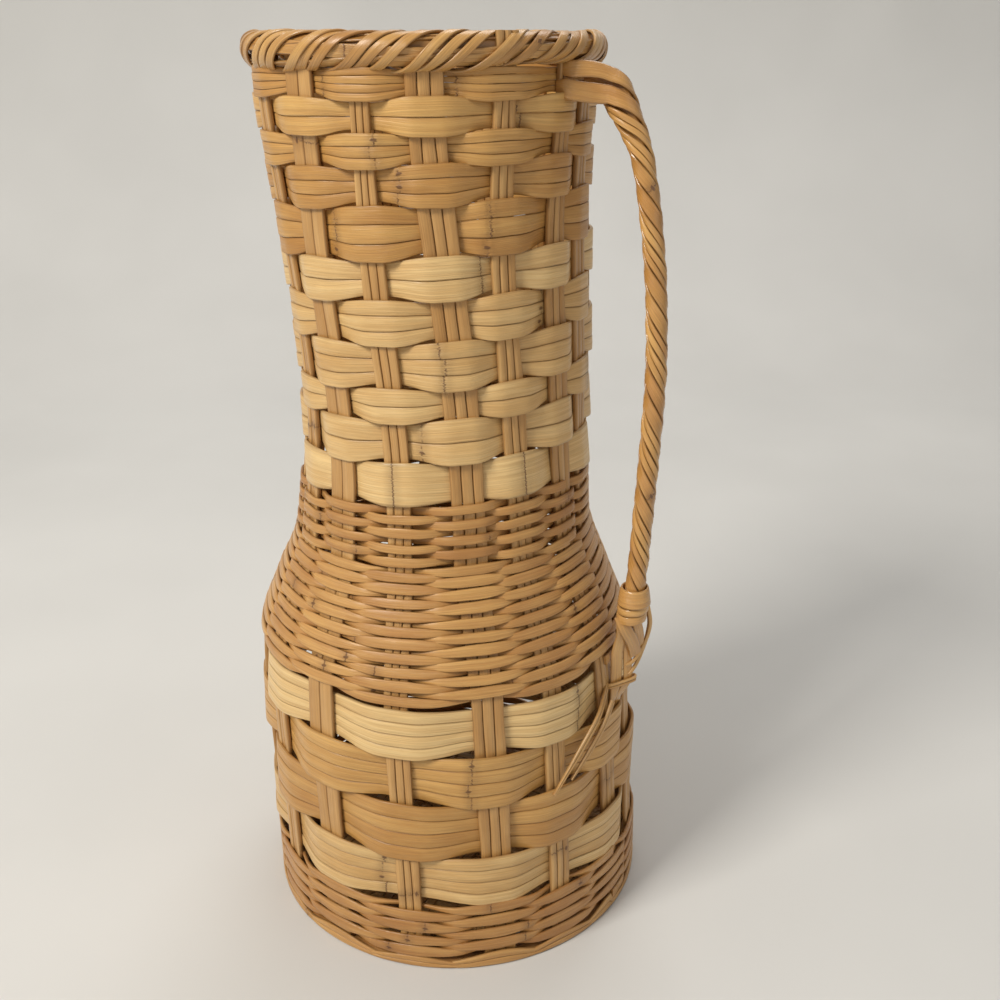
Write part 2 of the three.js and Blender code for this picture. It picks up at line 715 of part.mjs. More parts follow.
function addBands(name, digits, bottom, heights, firstOverOdd, handleBand) {
  const bottoms = bandBottoms(bottom, heights);
  heights.forEach((height, i) => {
    const geometry = bandGeometry({
      low: bottoms[i] + COURSE_GAP / 2,
      high: bottoms[i] + height - COURSE_GAP / 2,
      spreadBelow: i > 0 ? BAND_WAVE : 0,
      spreadAbove: i < heights.length - 1 ? BAND_WAVE : 0,
      overOdd: (i % 2 === 0) === firstOverOdd,
      holdsHandle: i === handleBand,
    });
    add(numbered(name, i, digits), geometry, reeds.band);
  });
}

function addWeavers(name, bottom, rows, rowHeight) {
  add(`${name}_a`, weaverGeometry(bottom, rows, rowHeight, false, 0), reeds.weaver);
  add(`${name}_b`, weaverGeometry(bottom, rows, rowHeight, true, STAKE_PAIRS), reeds.weaver);
}

for (let stake = 0; stake < STAKE_COUNT; stake++) {
  add(numbered("stake", stake, 2), stakeGeometry(stake), reeds.stake);
}
add("foot_border", footBorderGeometry(), reeds.weaver);
add("base_mat", baseMatGeometry(), reeds.weaver);
addWeavers("base_weaver", BASE_BOTTOM, BASE_ROWS, BASE_ROW_HEIGHT);
addBands("belly_band", 1, BELLY_BOTTOM, BELLY_BAND_HEIGHTS, false, BELLY_BAND_HEIGHTS.length - 2);
addWeavers("shoulder_weaver", BELLY_TOP, SHOULDER_ROWS, SHOULDER_ROW_HEIGHT);
addWeavers("collar_weaver", SHOULDER_TOP, COLLAR_ROWS, COLLAR_ROW_HEIGHT);
addBands("neck_band", 2, COLLAR_TOP, NECK_BAND_HEIGHTS, true);

add("rim_core", rimCoreGeometry(), reeds.rope);
for (let strand = 0; strand < RIM_STRANDS; strand++) {
  add(numbered("rim_strand", strand, 1), rimStrandGeometry(strand / RIM_STRANDS), reeds.rope);
}

add("handle_core", ropeCoreGeometry(), reeds.rope);
const lead = ROPE_LEAD / ropeLength;
const loopHeights = [upperLoopHeight, lowerLoopHeight];
for (let strand = 0; strand < ROPE_STRANDS; strand++) {
  const looped = strand < loopHeights.length;
  const before = looped ? loopSections(loopHeights[strand], lead) : [];
  const firstTurn = ROPE_FIRST_TURN + strand / ROPE_STRANDS;
  const geometry = ropeStrandGeometry(firstTurn, looped ? lead : 0, before);
  add(numbered("handle_strand", strand, 1), geometry, reeds.rope);
}
add("handle_binding", bindingGeometry(), reeds.tie);
add("handle_end_1", endGeometry(-1), reeds.rope);
add("handle_end_2", endGeometry(1), reeds.rope);
add("handle_lashing", lashingGeometry(), reeds.tie);
add("handle_tie", laidGeometry(tieRoute(), TIE_WIDTH, TIE_THICKNESS, 12), reeds.tie);
add("handle_tail_1", laidGeometry(longTailRoute(), TAIL_WIDTH, TAIL_THICKNESS, 10), reeds.tie);
add("handle_tail_2", laidGeometry(tailRoute(SHORT_TAIL), TAIL_WIDTH, TAIL_THICKNESS, 8), reeds.tie);

export default vase;
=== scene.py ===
"""Looks of the wicker pitcher vase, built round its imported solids.

Sizes are in millimetres, and meshes in metres.
"""

import bisect
import logging
import math
import random
from collections import defaultdict
from dataclasses import dataclass, field
from enum import Enum
from typing import Callable, Sequence

import bpy
from mathutils import Matrix, Vector


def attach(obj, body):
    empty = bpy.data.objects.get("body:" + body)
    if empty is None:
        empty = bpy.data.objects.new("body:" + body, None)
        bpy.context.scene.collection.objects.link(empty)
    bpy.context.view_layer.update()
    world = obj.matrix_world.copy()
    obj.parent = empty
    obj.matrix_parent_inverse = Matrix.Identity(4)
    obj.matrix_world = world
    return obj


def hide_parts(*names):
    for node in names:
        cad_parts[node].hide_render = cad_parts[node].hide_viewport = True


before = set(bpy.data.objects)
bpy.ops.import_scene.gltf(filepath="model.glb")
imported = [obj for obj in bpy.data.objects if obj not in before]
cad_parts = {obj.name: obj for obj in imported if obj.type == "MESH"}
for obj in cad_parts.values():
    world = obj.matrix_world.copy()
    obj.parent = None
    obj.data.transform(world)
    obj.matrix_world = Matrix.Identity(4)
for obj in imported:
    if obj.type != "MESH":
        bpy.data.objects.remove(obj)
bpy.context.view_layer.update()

log = logging.getLogger("wicker_vase")

MM = 0.001
TURN = 2 * math.pi
UP = Vector((0, 0, 1))
FAR_FROM_KNOTS = 60.0
# The dark brown of the fibres and the knots' marks, also used for the painted shade at each reed's edges.
DARK_REED = (0.10, 0.035, 0.010, 1)
Pair = tuple[float, float]
Triple = tuple[float, float, float]
Colour = Triple
Faced = tuple[Vector, Vector]


class Course(Enum):
    """Which stakes a woven course passes over, counted from the first stake."""

    EVEN = 0
    ODD = 1

    def side(self, stake: int) -> int:
        """Return 1 where the course passes outside the stake, and -1 where it passes inside."""
        return 1 if stake % 2 == self.value else -1


class Slot(Enum):
    """The record's material slots."""

    STAKE = "stake_reed"
    BAND = "band_reed"
    WEAVER = "weaver_reed"
    ROPE = "rope_reed"
    TIE = "tie_reed"


def smooth(t: float) -> float:
    """Ease a share from 0 to 1, with level ends."""
    t = min(1.0, max(0.0, t))
    return t * t * (3 - 2 * t)


def mix(a: float, b: float, t: float) -> float:
    """Return the value a share of the way from one value to another."""
    return a + (b - a) * t


def bowed(value: float, power: float) -> float:
    """Raise a value to a power, and keep its sign."""
    return math.copysign(abs(value) ** power, value)


def heading(angle: float) -> Vector:
    """Return the level direction at an angle round the vase, in radians."""
    return Vector((math.cos(angle), math.sin(angle), 0))


def around(count: int) -> list[tuple[Vector, float]]:
    """Return level directions evenly round a turn, each with its angle."""
    return [(heading(TURN * i / count), TURN * i / count) for i in range(count)]


def swing_between(share: float, flat: float = 0.2) -> float:
    """Swing from 1 at one stake to -1 at the next, nearly straight between flat stretches past both."""
    t = min(1.0, max(0.0, (share - flat) / (1 - 2 * flat)))
    return 1 - 2 * mix(t, smooth(t), 0.5)


def bezier(corners: Sequence[Vector], t: float) -> Faced:
    """Return the point at a share of the way along a curve with four corners, and the direction there."""
    a, b, c, d = corners
    point = a * (1 - t) ** 3 + b * 3 * t * (1 - t) ** 2 + c * 3 * t * t * (1 - t) + d * t**3
    return point, (b - a) * (1 - t) ** 2 + (c - b) * 2 * t * (1 - t) + (d - c) * t * t


def curve_through(stations: Sequence[Pair]) -> Callable[[float], float]:
    """Make a smooth curve through stations that doesn't overshoot between them.

    Args:
        stations: Pairs of height and value, from the lowest up.

    Returns:
        A function from height to value.
    """
    rises = [(b[1] - a[1]) / (b[0] - a[0]) for a, b in zip(stations, stations[1:])]
    pairs = zip([0.0, *rises], [*rises, 0.0])
    slopes = [2 * a * b / (a + b) if a * b > 0 else 0.0 for a, b in pairs]
    heights = [height for height, _ in stations]

    def value(height: float) -> float:
        i = min(len(stations) - 2, max(0, bisect.bisect_right(heights, height) - 1))
        (z0, v0), (z1, v1) = stations[i], stations[i + 1]
        span = z1 - z0
        t = min(1.0, max(0.0, (height - z0) / span))
        return (
            v0 * (1 + 2 * t) * (1 - t) ** 2
            + slopes[i] * span * t * (1 - t) ** 2
            + v1 * t * t * (3 - 2 * t)
            + slopes[i + 1] * span * t * t * (t - 1)
        )

    return value


def spline_through(points: Sequence[Vector], steps: int) -> list[Vector]:
    """Draw one smooth curve through points, in steps of even length.

    Args:
        points: The points that the curve passes through.
        steps: The number of steps.

    Returns:
        The curve's points, one more than its steps.
    """
    ends = [points[0] * 2 - points[1], *points, points[-1] * 2 - points[-2]]
    fine: list[Vector] = []
    splits = 24
    for a, b, c, d in zip(ends, ends[1:], ends[2:], ends[3:]):
        t1 = max(1e-4, (b - a).length ** 0.5)
        t2 = t1 + max(1e-4, (c - b).length ** 0.5)
        t3 = t2 + max(1e-4, (d - c).length ** 0.5)
        for i in range(splits):
            t = t1 + (t2 - t1) * i / splits
            ab = a.lerp(b, t / t1)
            bc = b.lerp(c, (t - t1) / (t2 - t1))
            cd = c.lerp(d, (t - t2) / (t3 - t2))
            abc = ab.lerp(bc, t / t2)
            bcd = bc.lerp(cd, (t - t1) / (t3 - t1))
            fine.append(abc.lerp(bcd, (t - t1) / (t2 - t1)))
    fine.append(points[-1].copy())
    return even_steps(fine, lengths_along(fine), steps)


def lengths_along(points: Sequence[Vector]) -> list[float]:
    """Return how far along a line each of its points is."""
    total = [0.0]
    for a, b in zip(points, points[1:]):
        total.append(total[-1] + (b - a).length)
    return total


def even_steps(values: Sequence[Vector], lengths: Sequence[float], steps: int) -> list[Vector]:
    """Take values in steps of even length along a line, one more than the steps.

    Args:
        values: A value for each of the line's points.
        lengths: How far along the line each of those points is.
        steps: The number of steps.

    Returns:
        The values, each blended from the two beside it.
    """
    walked = []
    for i in range(steps + 1):
        wanted = lengths[-1] * i / steps
        after = min(len(values) - 1, max(1, bisect.bisect_left(lengths, wanted)))
        span = max(1e-9, lengths[after] - lengths[after - 1])
        walked.append(values[after - 1].lerp(values[after], (wanted - lengths[after - 1]) / span))
    return walked


@dataclass
class Wall:
    """The woven wall: where its courses lie, and how it bellies, leans, turns and tilts."""

    stakes: int = 16
    stake_width: float = 14.0
    stake_thickness: float = 2.4
    band_thickness: float = 1.8
    weaver_thickness: float = 1.6
    clearance: float = 0.3
    course_gap: float = 0.6
    foot_height: float = 3.6
    foot_width: float = 13.0
    base_rows: int = 8
    base_row: float = 3.95
    belly_bands: tuple[float, ...] = (28.4, 31.7, 28.0, 26.0)
    shoulder_rows: int = 20
    shoulder_row: float = 3.04
    collar_rows: int = 8
    collar_row: float = 3.64
    neck_bands: tuple[float, ...] = (21.1, 20.6, 15.3, 21.4, 19.5, 18.4, 22.6, 17.0, 13.4, 14.6, 13.0)
    weaver_over: float = 1.35
    band_wave: float = 1.3
    fullest_share: float = 0.75
    narrow_share: float = 0.21
    straying_share: float = 0.4
    upper_share: float = 0.66
    foot_radius: float = 102.4
    belly_radius: float = 101.2
    shoulder_radius: float = 99.0
    shoulder_middle_radius: float = 88.0
    collar_radius: float = 76.2
    neck_radius: float = 71.6
    upper_neck_radius: float = 74.2
    mouth_radius: float = 78.4
    first_stake: float = -6.5
    offsets: dict[int, float] = field(
        default_factory=lambda: {0: 1.5, 1: -3.0, 11: -2.0, 12: -2.5, 14: 3.5, 15: 1.0}
    )
    extra_shares: dict[int, float] = field(
        default_factory=lambda: {12: 0.17, 13: -0.11, 14: 0.17, 15: -0.14}
    )
    mouth_strays: dict[int, float] = field(
        default_factory=lambda: {0: 4.0, 1: 4.0, 2: 2.0, 11: 3.0, 12: 6.0, 13: 3.0, 14: -2.5, 15: 2.5}
    )
    shoulder_lean: float = -6.5
    neck_lean: float = -3.0
    mouth_lean: float = -11.3
    neck_twist: float = -9.0
    belly_tilt: float = -0.025
    neck_tilt: float = 0.055

    def __post_init__(self) -> None:
        """Work out the heights where one weave gives way to the next, and the wall's curves."""
        self.seat = self.foot_height + self.clearance
        self.base_bottom = self.seat + self.stake_thickness + self.course_gap
        self.belly_bottom = self.base_bottom + self.weaving_height(self.base_rows, self.base_row)
        self.belly_top = self.belly_bottom + sum(self.belly_bands)
        self.shoulder_top = self.belly_top + self.weaving_height(self.shoulder_rows, self.shoulder_row)
        self.collar_top = self.shoulder_top + self.weaving_height(self.collar_rows, self.collar_row)
        self.neck_top = self.collar_top + sum(self.neck_bands)
        self.stake_face = self.stake_thickness / 2 + self.clearance
        self.band_face = self.stake_face + self.band_thickness
        fullest = self.belly_top * self.fullest_share
        shoulder = (self.belly_top + self.shoulder_top) / 2
        shares = (self.narrow_share, self.straying_share, self.upper_share)
        narrow, middle, upper = (mix(self.collar_top, self.neck_top, share) for share in shares)
        self.radius = curve_through(
            [
                (0, self.foot_radius),
                (fullest, self.belly_radius),
                (self.belly_top, self.shoulder_radius),
                (shoulder, self.shoulder_middle_radius),
                (self.shoulder_top, self.collar_radius),
                (narrow, self.neck_radius),
                (upper, self.upper_neck_radius),
                (self.neck_top, self.mouth_radius),
            ]
        )
        leans = [(0, 0), (shoulder, self.shoulder_lean), (narrow, self.neck_lean)]
        self.lean = curve_through([*leans, (self.neck_top, self.mouth_lean)])
        self.twist = curve_through([(self.belly_top, 0), (upper, self.neck_twist)])
        self.straying = curve_through([(middle, 0), (self.neck_top, 1)])
        tilts = [(self.base_bottom, 0), (fullest, self.belly_tilt), (narrow, self.neck_tilt)]
        self.tilt = curve_through([*tilts, (upper, self.neck_tilt), (self.neck_top, 0)])

    def weaving_height(self, rows: int, row: float) -> float:
        """Return the height that rows of fine weaving fill."""
        return (rows - 1 + self.weaver_over) * row + self.course_gap

    def point(self, angle: float, height: float, outward: float = 0, sideways: float = 0) -> Vector:
        """Find a point by the wall.

        Args:
            angle: The angle round the vase from the handle, in radians.
            height: The height in the wall, before it tilts.
            outward: How far out along the wall's normal.
            sideways: How far along the wall, anticlockwise.

        Returns:
            The point.
        """
        slope = (self.radius(height + 1) - self.radius(height - 1)) / 2
        length = math.hypot(1, slope)
        radius = self.radius(height) + outward / length
        x = radius * math.cos(angle) - sideways * math.sin(angle)
        y = radius * math.sin(angle) + sideways * math.cos(angle)
        z = height - outward * slope / length
        return Vector((x + self.lean(z), y, z + x * self.tilt(z)))

    def normal(self, angle: float, height: float) -> Vector:
        """Return the wall's outward direction at a point of it."""
        return (self.point(angle, height, 1) - self.point(angle, height, -1)).normalized()

    def stake_angle(self, stake: int, height: float) -> float:
        """Return the angle of a stake at a height, in radians. Stakes past the last go on round."""
        turns, place = divmod(stake, self.stakes)
        offset = self.offsets.get(place, 0.0) + self.mouth_strays.get(place, 0.0) * self.straying(height)
        degrees = self.first_stake + offset + self.twist(height)
        return math.radians(degrees + (place + turns * self.stakes) * 360 / self.stakes)

    def width_of(self, stake: int) -> float:
        """Return the width of a stake."""
        return self.stake_width * (1 + self.extra_shares.get(stake % self.stakes, 0.0))

    def angle_between(self, place: float, height: float) -> float:
        """Return the angle at a place counted in stakes, with its fraction between two stakes."""
        stake = math.floor(place)
        low = self.stake_angle(stake, height)
        high = self.stake_angle(stake + 1, height)
        return mix(low, high, place - stake)


@dataclass
class ReedPath:
    """The line that a bundle of parallel reeds follows, with its width and directions at each point."""

    points: list[Vector]
    outward: list[Vector]
    widths: list[float]
    thickness: float
    closed: bool = False
    shade: float = 0.5
    knots: Sequence[float] = ()

    def frames(self) -> list[Faced]:
        """Return the directions across the reeds and out of their face, at each point."""
        count = len(self.points)
        found = []
        for i, out in enumerate(self.outward):
            if self.closed:
                along = self.points[(i + 1) % count] - self.points[i - 1]
            else:
                along = self.points[min(i + 1, count - 1)] - self.points[max(i - 1, 0)]
            across = along.cross(out).normalized()
            found.append((across, across.cross(along).normalized()))
        return found

    def knot_shifts(self) -> list[float]:
        """Return how far past the nearest knot each point lies, below zero for a point before the knot."""
        return [
            min([FAR_FROM_KNOTS, *(length - knot for knot in self.knots)], key=abs)
            for length in lengths_along(self.points)
        ]


def laid_along(stations: Sequence[tuple], thickness: float, **more: object) -> ReedPath:
    """Lay a path along stations: a point, the direction out of the reeds' face, and the bundle's width."""
    points, outward, widths = (list(values) for values in zip(*stations))
    return ReedPath(points, outward, widths, thickness, **more)


class Wire:
    """A value that a node gives out. Arithmetic on it adds Math nodes."""

    def __init__(self, nodes: "Nodes", socket: bpy.types.NodeSocket) -> None:
        """Take the socket of a node that a builder added."""
        self.nodes = nodes
        self.socket = socket

    def __add__(self, other: object) -> "Wire":
        """Add a value."""
        return self.nodes.math("ADD", self, other)

    def __sub__(self, other: object) -> "Wire":
        """Take a value away."""
        return self.nodes.math("SUBTRACT", self, other)

    def __rsub__(self, other: object) -> "Wire":
        """Take this value away from another."""
        return self.nodes.math("SUBTRACT", other, self)

    def __mul__(self, other: object) -> "Wire":
        """Multiply by a value."""
        return self.nodes.math("MULTIPLY", self, other)

    def __truediv__(self, other: object) -> "Wire":
        """Divide by a value."""
        return self.nodes.math("DIVIDE", self, other)

    def __abs__(self) -> "Wire":
        """Drop the sign."""
        return self.nodes.math("ABSOLUTE", self)


class VectorWire(Wire):
    """A vector that a node gives out. Sums and scalings of it add Vector Math nodes."""

    def __add__(self, other: Wire) -> "VectorWire":
        """Add a vector."""
        return self.nodes.vector("ADD", {0: self, 1: other})

    def __mul__(self, other: object) -> "VectorWire":
        """Scale by a value."""
        return self.nodes.vector("SCALE", {0: self, "Scale": other})


class Nodes:
    """Builds one node tree, with its named inputs and outputs."""

    def __init__(self, tree: bpy.types.NodeTree) -> None:
        """Take a tree to build in."""
        self.tree = tree

    def sockets(self, kind: str, *names: str, output: bool = False) -> None:
        """Add inputs or outputs of one kind, such as Float, to the tree."""
        way = "OUTPUT" if output else "INPUT"
        for name in names:
            self.tree.interface.new_socket(name=name, in_out=way, socket_type="NodeSocket" + kind)

    def given(self) -> dict[str, Wire]:
        """Return the tree's inputs by name."""
        return {socket.name: Wire(self, socket) for socket in self.add("NodeGroupInput").outputs}

    def add(self, kind: str, inputs: dict | None = None, **settings: object) -> bpy.types.Node:
        """Add a node.

        Args:
            kind: The node's type.
            inputs: A value or a wire for each input, by name or number.
            settings: The node's own settings.

        Returns:
            The node.
        """
        node = self.tree.nodes.new(kind)
        for name, value in settings.items():
            setattr(node, name, value)
        for name, value in (inputs or {}).items():
            if isinstance(value, Wire):
                self.tree.links.new(value.socket, node.inputs[name])
            else:
                node.inputs[name].default_value = value
        return node

    def wire(self, kind: str, inputs: dict | None = None, output: int | str = 0, **settings: object) -> Wire:
        """Add a node, and return one of its outputs."""
        return Wire(self, self.add(kind, inputs, **settings).outputs[output])

    def wires(self, *names: str, of: bpy.types.Node) -> list[Wire]:
        """Return a node's outputs by name."""
        return [Wire(self, of.outputs[name]) for name in names]

    def math(self, operation: str, *values: object, clamp: bool = False) -> Wire:
        """Add a Math node, and return its result."""
        return self.wire("ShaderNodeMath", dict(enumerate(values)), operation=operation, use_clamp=clamp)

    def vector(self, operation: str, inputs: dict) -> VectorWire:
        """Add a Vector Math node, and return its vector."""
        made = self.add("ShaderNodeVectorMath", inputs, operation=operation)
        return VectorWire(self, made.outputs["Vector"])

    def joined(self, x: object, y: object, z: object = 0.0) -> Wire:
        """Join three values into a vector."""
        return self.wire("ShaderNodeCombineXYZ", {"X": x, "Y": y, "Z": z})

    def graded(self, value: Wire, low: float, high: float, start: float = 0.0, end: float = 1.0) -> Wire:
        """Map a value from one range to another, with an eased and clamped change."""
        inputs = {"Value": value, "From Min": low, "From Max": high, "To Min": start, "To Max": end}
        return self.wire("ShaderNodeMapRange", inputs, "Result", interpolation_type="SMOOTHSTEP")

    def faded(self, value: Wire, low: float, high: float) -> Wire:
        """Fade from 1 to 0 between two values."""
        return self.graded(value, low, high, 1.0, 0.0)

    def blended(self, factor: Wire, a: object, b: object) -> Wire:
        """Mix two colours."""
        return self.wire("ShaderNodeMix", {0: factor, 6: a, 7: b}, 2, data_type="RGBA")

    def noise(self, place: Wire, detail: float) -> Wire:
        """Add a noise of size 1 at a place."""
        return self.wire("ShaderNodeTexNoise", {"Vector": place, "Scale": 1.0, "Detail": detail})


class GeometryNodes(Nodes):
    """Builds one node tree that makes geometry."""

    def read(self, name: str) -> Wire:
        """Read a named value."""
        return self.wire("GeometryNodeInputNamedAttribute", {"Name": name}, data_type="FLOAT")

    def read_vector(self, name: str) -> VectorWire:
        """Read a named vector."""
        made = self.add("GeometryNodeInputNamedAttribute", {"Name": name}, data_type="FLOAT_VECTOR")
        return VectorWire(self, made.outputs[0])

    def position(self) -> VectorWire:
        """Return the position of each point."""
        return VectorWire(self, self.add("GeometryNodeInputPosition").outputs[0])

    def changed(self, kind: str, geometry: Wire, inputs: dict | None = None, **settings: object) -> Wire:
        """Add a node that changes geometry, and return the changed geometry."""
        return self.wire("GeometryNode" + kind, {0: geometry, **(inputs or {})}, **settings)

    def store(self, geometry: Wire, values: dict, kind: str = "FLOAT", domain: str = "POINT") -> Wire:
        """Store values by name, and return the geometry that carries them."""
        for name, value in values.items():
            inputs = {"Name": name, "Value": value}
            geometry = self.changed("StoreNamedAttribute", geometry, inputs, data_type=kind, domain=domain)
        return geometry


@dataclass(frozen=True)
class ReedCut:
    """How a bundle of parallel reeds is cut and laid."""

    reeds: int = 1
    gap: float = 0.35
    crown: float = 0.45
    wander: float = 0.5
    lift: float = 0.2
    ripple: float = 40.0


class ReedMaker:
    """Grows solid reeds along paths with a Geometry Nodes tree."""

    PROFILE = 12
    NARROWEST = 0.0004
    KNOT_REACH = 0.0022
    KNOT_SWELL = 0.12
    SPARE = ("across", "outward", "centre", "width", "thickness", "length", "reed width", "path")

    def __init__(self) -> None:
        """Build the tree."""
        self.tree = bpy.data.node_groups.new("parallel reeds", "GeometryNodeTree")
        self.seed = 0
        n = GeometryNodes(self.tree)
        n.sockets("Geometry", "Paths")
        n.sockets("Int", "Reeds", "Seed")
        n.sockets("Float", "Gap", "Crown", "Wander", "Lift", "Ripple")
        n.sockets("Material", "Finish")
        n.sockets("Geometry", "Solids", output=True)
        given = n.given()
        n.add("NodeGroupOutput", {0: self._sweep(n, given, self._split(n, given))})

    def _split(self, n: GeometryNodes, given: dict[str, Wire]) -> Wire:
        """Split each path into the middle lines of parallel reeds, which carry the size and tone of each."""
        curves = n.changed("MeshToCurve", given["Paths"])
        inputs = {0: curves, "Amount": given["Reeds"]}
        copies = n.add("GeometryNodeDuplicateElements", inputs, domain="SPLINE")
        lines, index = n.wires("Geometry", "Duplicate Index", of=copies)
        # The odd factors keep the random draws of one reed apart from those of the next.
        name = n.read("path") * 3.17 + given["Seed"] * 7.31
        tone = n.wire("ShaderNodeTexWhiteNoise", {"W": name + index * 1.73}, "Value", noise_dimensions="1D")
        place = n.position() * given["Ripple"]

        def drift(shift: Wire) -> Wire:
            return (n.noise(place + n.joined(0.0, 0.0, shift), 1.0) - 0.5) * 2.0

        def edge(number: Wire) -> Wire:
            share = number / given["Reeds"] - 0.5
            return share * n.read("width") + drift(name + number * 9.7) * given["Wander"]

        low = edge(index)
        high = edge(index + 1.0)
        width = n.math("MAXIMUM", high - low - given["Gap"], self.NARROWEST)
        rise = (tone - 0.5 + drift(tone * 31.0) * 0.5) * given["Lift"]
        length = n.wire("GeometryNodeSplineParameter", output="Length")
        lines = n.store(lines, {"reed width": width, "tone": tone, "length": length})
        offset = n.read_vector("across") * ((low + high) * 0.5) + n.read_vector("outward") * rise
        lines = n.changed("SetPosition", lines, {"Offset": offset})
        return n.store(lines, {"centre": n.position()}, "FLOAT_VECTOR")

    def _sweep(self, n: GeometryNodes, given: dict[str, Wire], lines: Wire) -> Wire:
        """Sweep a crowned profile along the reeds' middle lines, and return the solid reeds."""
        corner = n.add("ShaderNodeSeparateXYZ", {0: n.position()})

        def squared(value: Wire, power: Wire) -> Wire:
            return n.math("POWER", abs(value), power) * n.math("SIGN", value)

        x, y = n.wires("X", "Y", of=corner)
        # The profile is nearly a rectangle, and a higher crown rounds it more.
        side = squared(x, given["Crown"] * 0.5 + 0.16)
        face = squared(y, given["Crown"] * 0.8 + 0.26)
        circle = n.wire("GeometryNodeCurvePrimitiveCircle", {"Resolution": self.PROFILE, "Radius": 1.0})
        profile = n.store(circle, {"side": side, "face": face})
        solid = n.changed("CurveToMesh", lines, {"Profile Curve": profile, "Fill Caps": True})
        swelling = n.faded(n.read("knot"), 0.0, self.KNOT_REACH)
        thickness = n.read("thickness") * (swelling * self.KNOT_SWELL + 1.0)
        across = n.read("side") * n.read("reed width") * 0.5
        depth = n.read("face") * thickness * 0.5
        shift = n.read_vector("across") * across + n.read_vector("outward") * depth
        solid = n.changed("SetPosition", solid, {"Position": n.read_vector("centre") + shift})
        along = n.read("length") + n.read("tone") * 5.0
        solid = n.store(solid, {"reed": n.joined(along, across)}, "FLOAT2", "CORNER")
        for spare in self.SPARE:
            solid = n.changed("RemoveAttribute", solid, {"Name": spare})
        solid = n.changed("RealizeInstances", n.changed("SetShadeSmooth", solid))
        return n.changed("SetMaterial", solid, {"Material": given["Finish"]})

    def _path_mesh(self, name: str, paths: Sequence[ReedPath]) -> bpy.types.Mesh:
        """Write paths as one mesh of edges, in metres, with each path's values on its points."""
        points: list[Vector] = []
        edges: list[tuple[int, int]] = []
        values: dict[str, list[float]] = defaultdict(list)
        directions: dict[str, list[float]] = defaultdict(list)
        for number, path in enumerate(paths):
            first, count = len(points), len(path.points)
            points += [point * MM for point in path.points]
            edges += [(first + i, first + i + 1) for i in range(count - 1)]
            if path.closed:
                edges.append((first + count - 1, first))
            for across, out in path.frames():
                directions["across"].extend(across)
                directions["outward"].extend(out)
            values["width"] += [width * MM for width in path.widths]
            values["thickness"] += [path.thickness * MM] * count
            values["path"] += [float(number)] * count
            values["shade"] += [path.shade] * count
            shifts = [shift * MM for shift in path.knot_shifts()]
            values["shift"] += shifts
            values["knot"] += [abs(shift) for shift in shifts]
        mesh = bpy.data.meshes.new(name)
        mesh.from_pydata(points, edges, [])
        for key, numbers in values.items():
            mesh.attributes.new(key, "FLOAT", "POINT").data.foreach_set("value", numbers)
        for key, numbers in directions.items():
            mesh.attributes.new(key, "FLOAT_VECTOR", "POINT").data.foreach_set("vector", numbers)
        return mesh

    def grow(
        self,
        name: str,
        paths: Sequence[ReedPath],
        cut: ReedCut,
        finish: bpy.types.Material,
    ) -> bpy.types.Object:
        """Grow reeds along paths.

        Args:
            name: The piece's name.
            paths: The paths that the bundles follow.
            cut: How each bundle is cut.
            finish: The reeds' material.

        Returns:
            A plain mesh object at the origin.
        """
        self.seed += 1
        rough = bpy.data.objects.new(name + " paths", self._path_mesh(name + " paths", paths))
        bpy.context.scene.collection.objects.link(rough)
        modifier = rough.modifiers.new("parallel reeds", "NODES")
        modifier.node_group = self.tree
        values = {"Seed": self.seed, "Reeds": cut.reeds, "Crown": cut.crown, "Ripple": cut.ripple}
        values |= {"Gap": cut.gap * MM, "Wander": cut.wander * MM, "Lift": cut.lift * MM, "Finish": finish}
        for item in self.tree.interface.items_tree:
            if item.name in values:
                modifier[item.identifier] = values[item.name]
        graph = bpy.context.evaluated_depsgraph_get()
        mesh = bpy.data.meshes.new_from_object(
            rough.evaluated_get(graph), preserve_all_data_layers=True, depsgraph=graph
        )
        bpy.data.objects.remove(rough)
        mesh.name = name
        piece = bpy.data.objects.new(name, mesh)
        bpy.context.scene.collection.objects.link(piece)
        return piece


def through(
    controls: Sequence[Faced],
    step: float,
    width: float,
    thickness: float,
    **more: object,
) -> ReedPath:
    """Lay a path smoothly through points.

    Args:
        controls: The points, each with the direction out of the reed's face.
        step: The length of the path's steps.
        width: The bundle's width.
        thickness: The reeds' thickness.
        more: The path's other values.

    Returns:
        The path.
    """
    points, directions = zip(*controls)
    lengths = lengths_along(points)
    steps = max(3, round(lengths[-1] / step))
    outward = [direction.normalized() for direction in even_steps(directions, lengths, steps)]
    return ReedPath(spline_through(points, steps), outward, [width] * (steps + 1), thickness, **more)


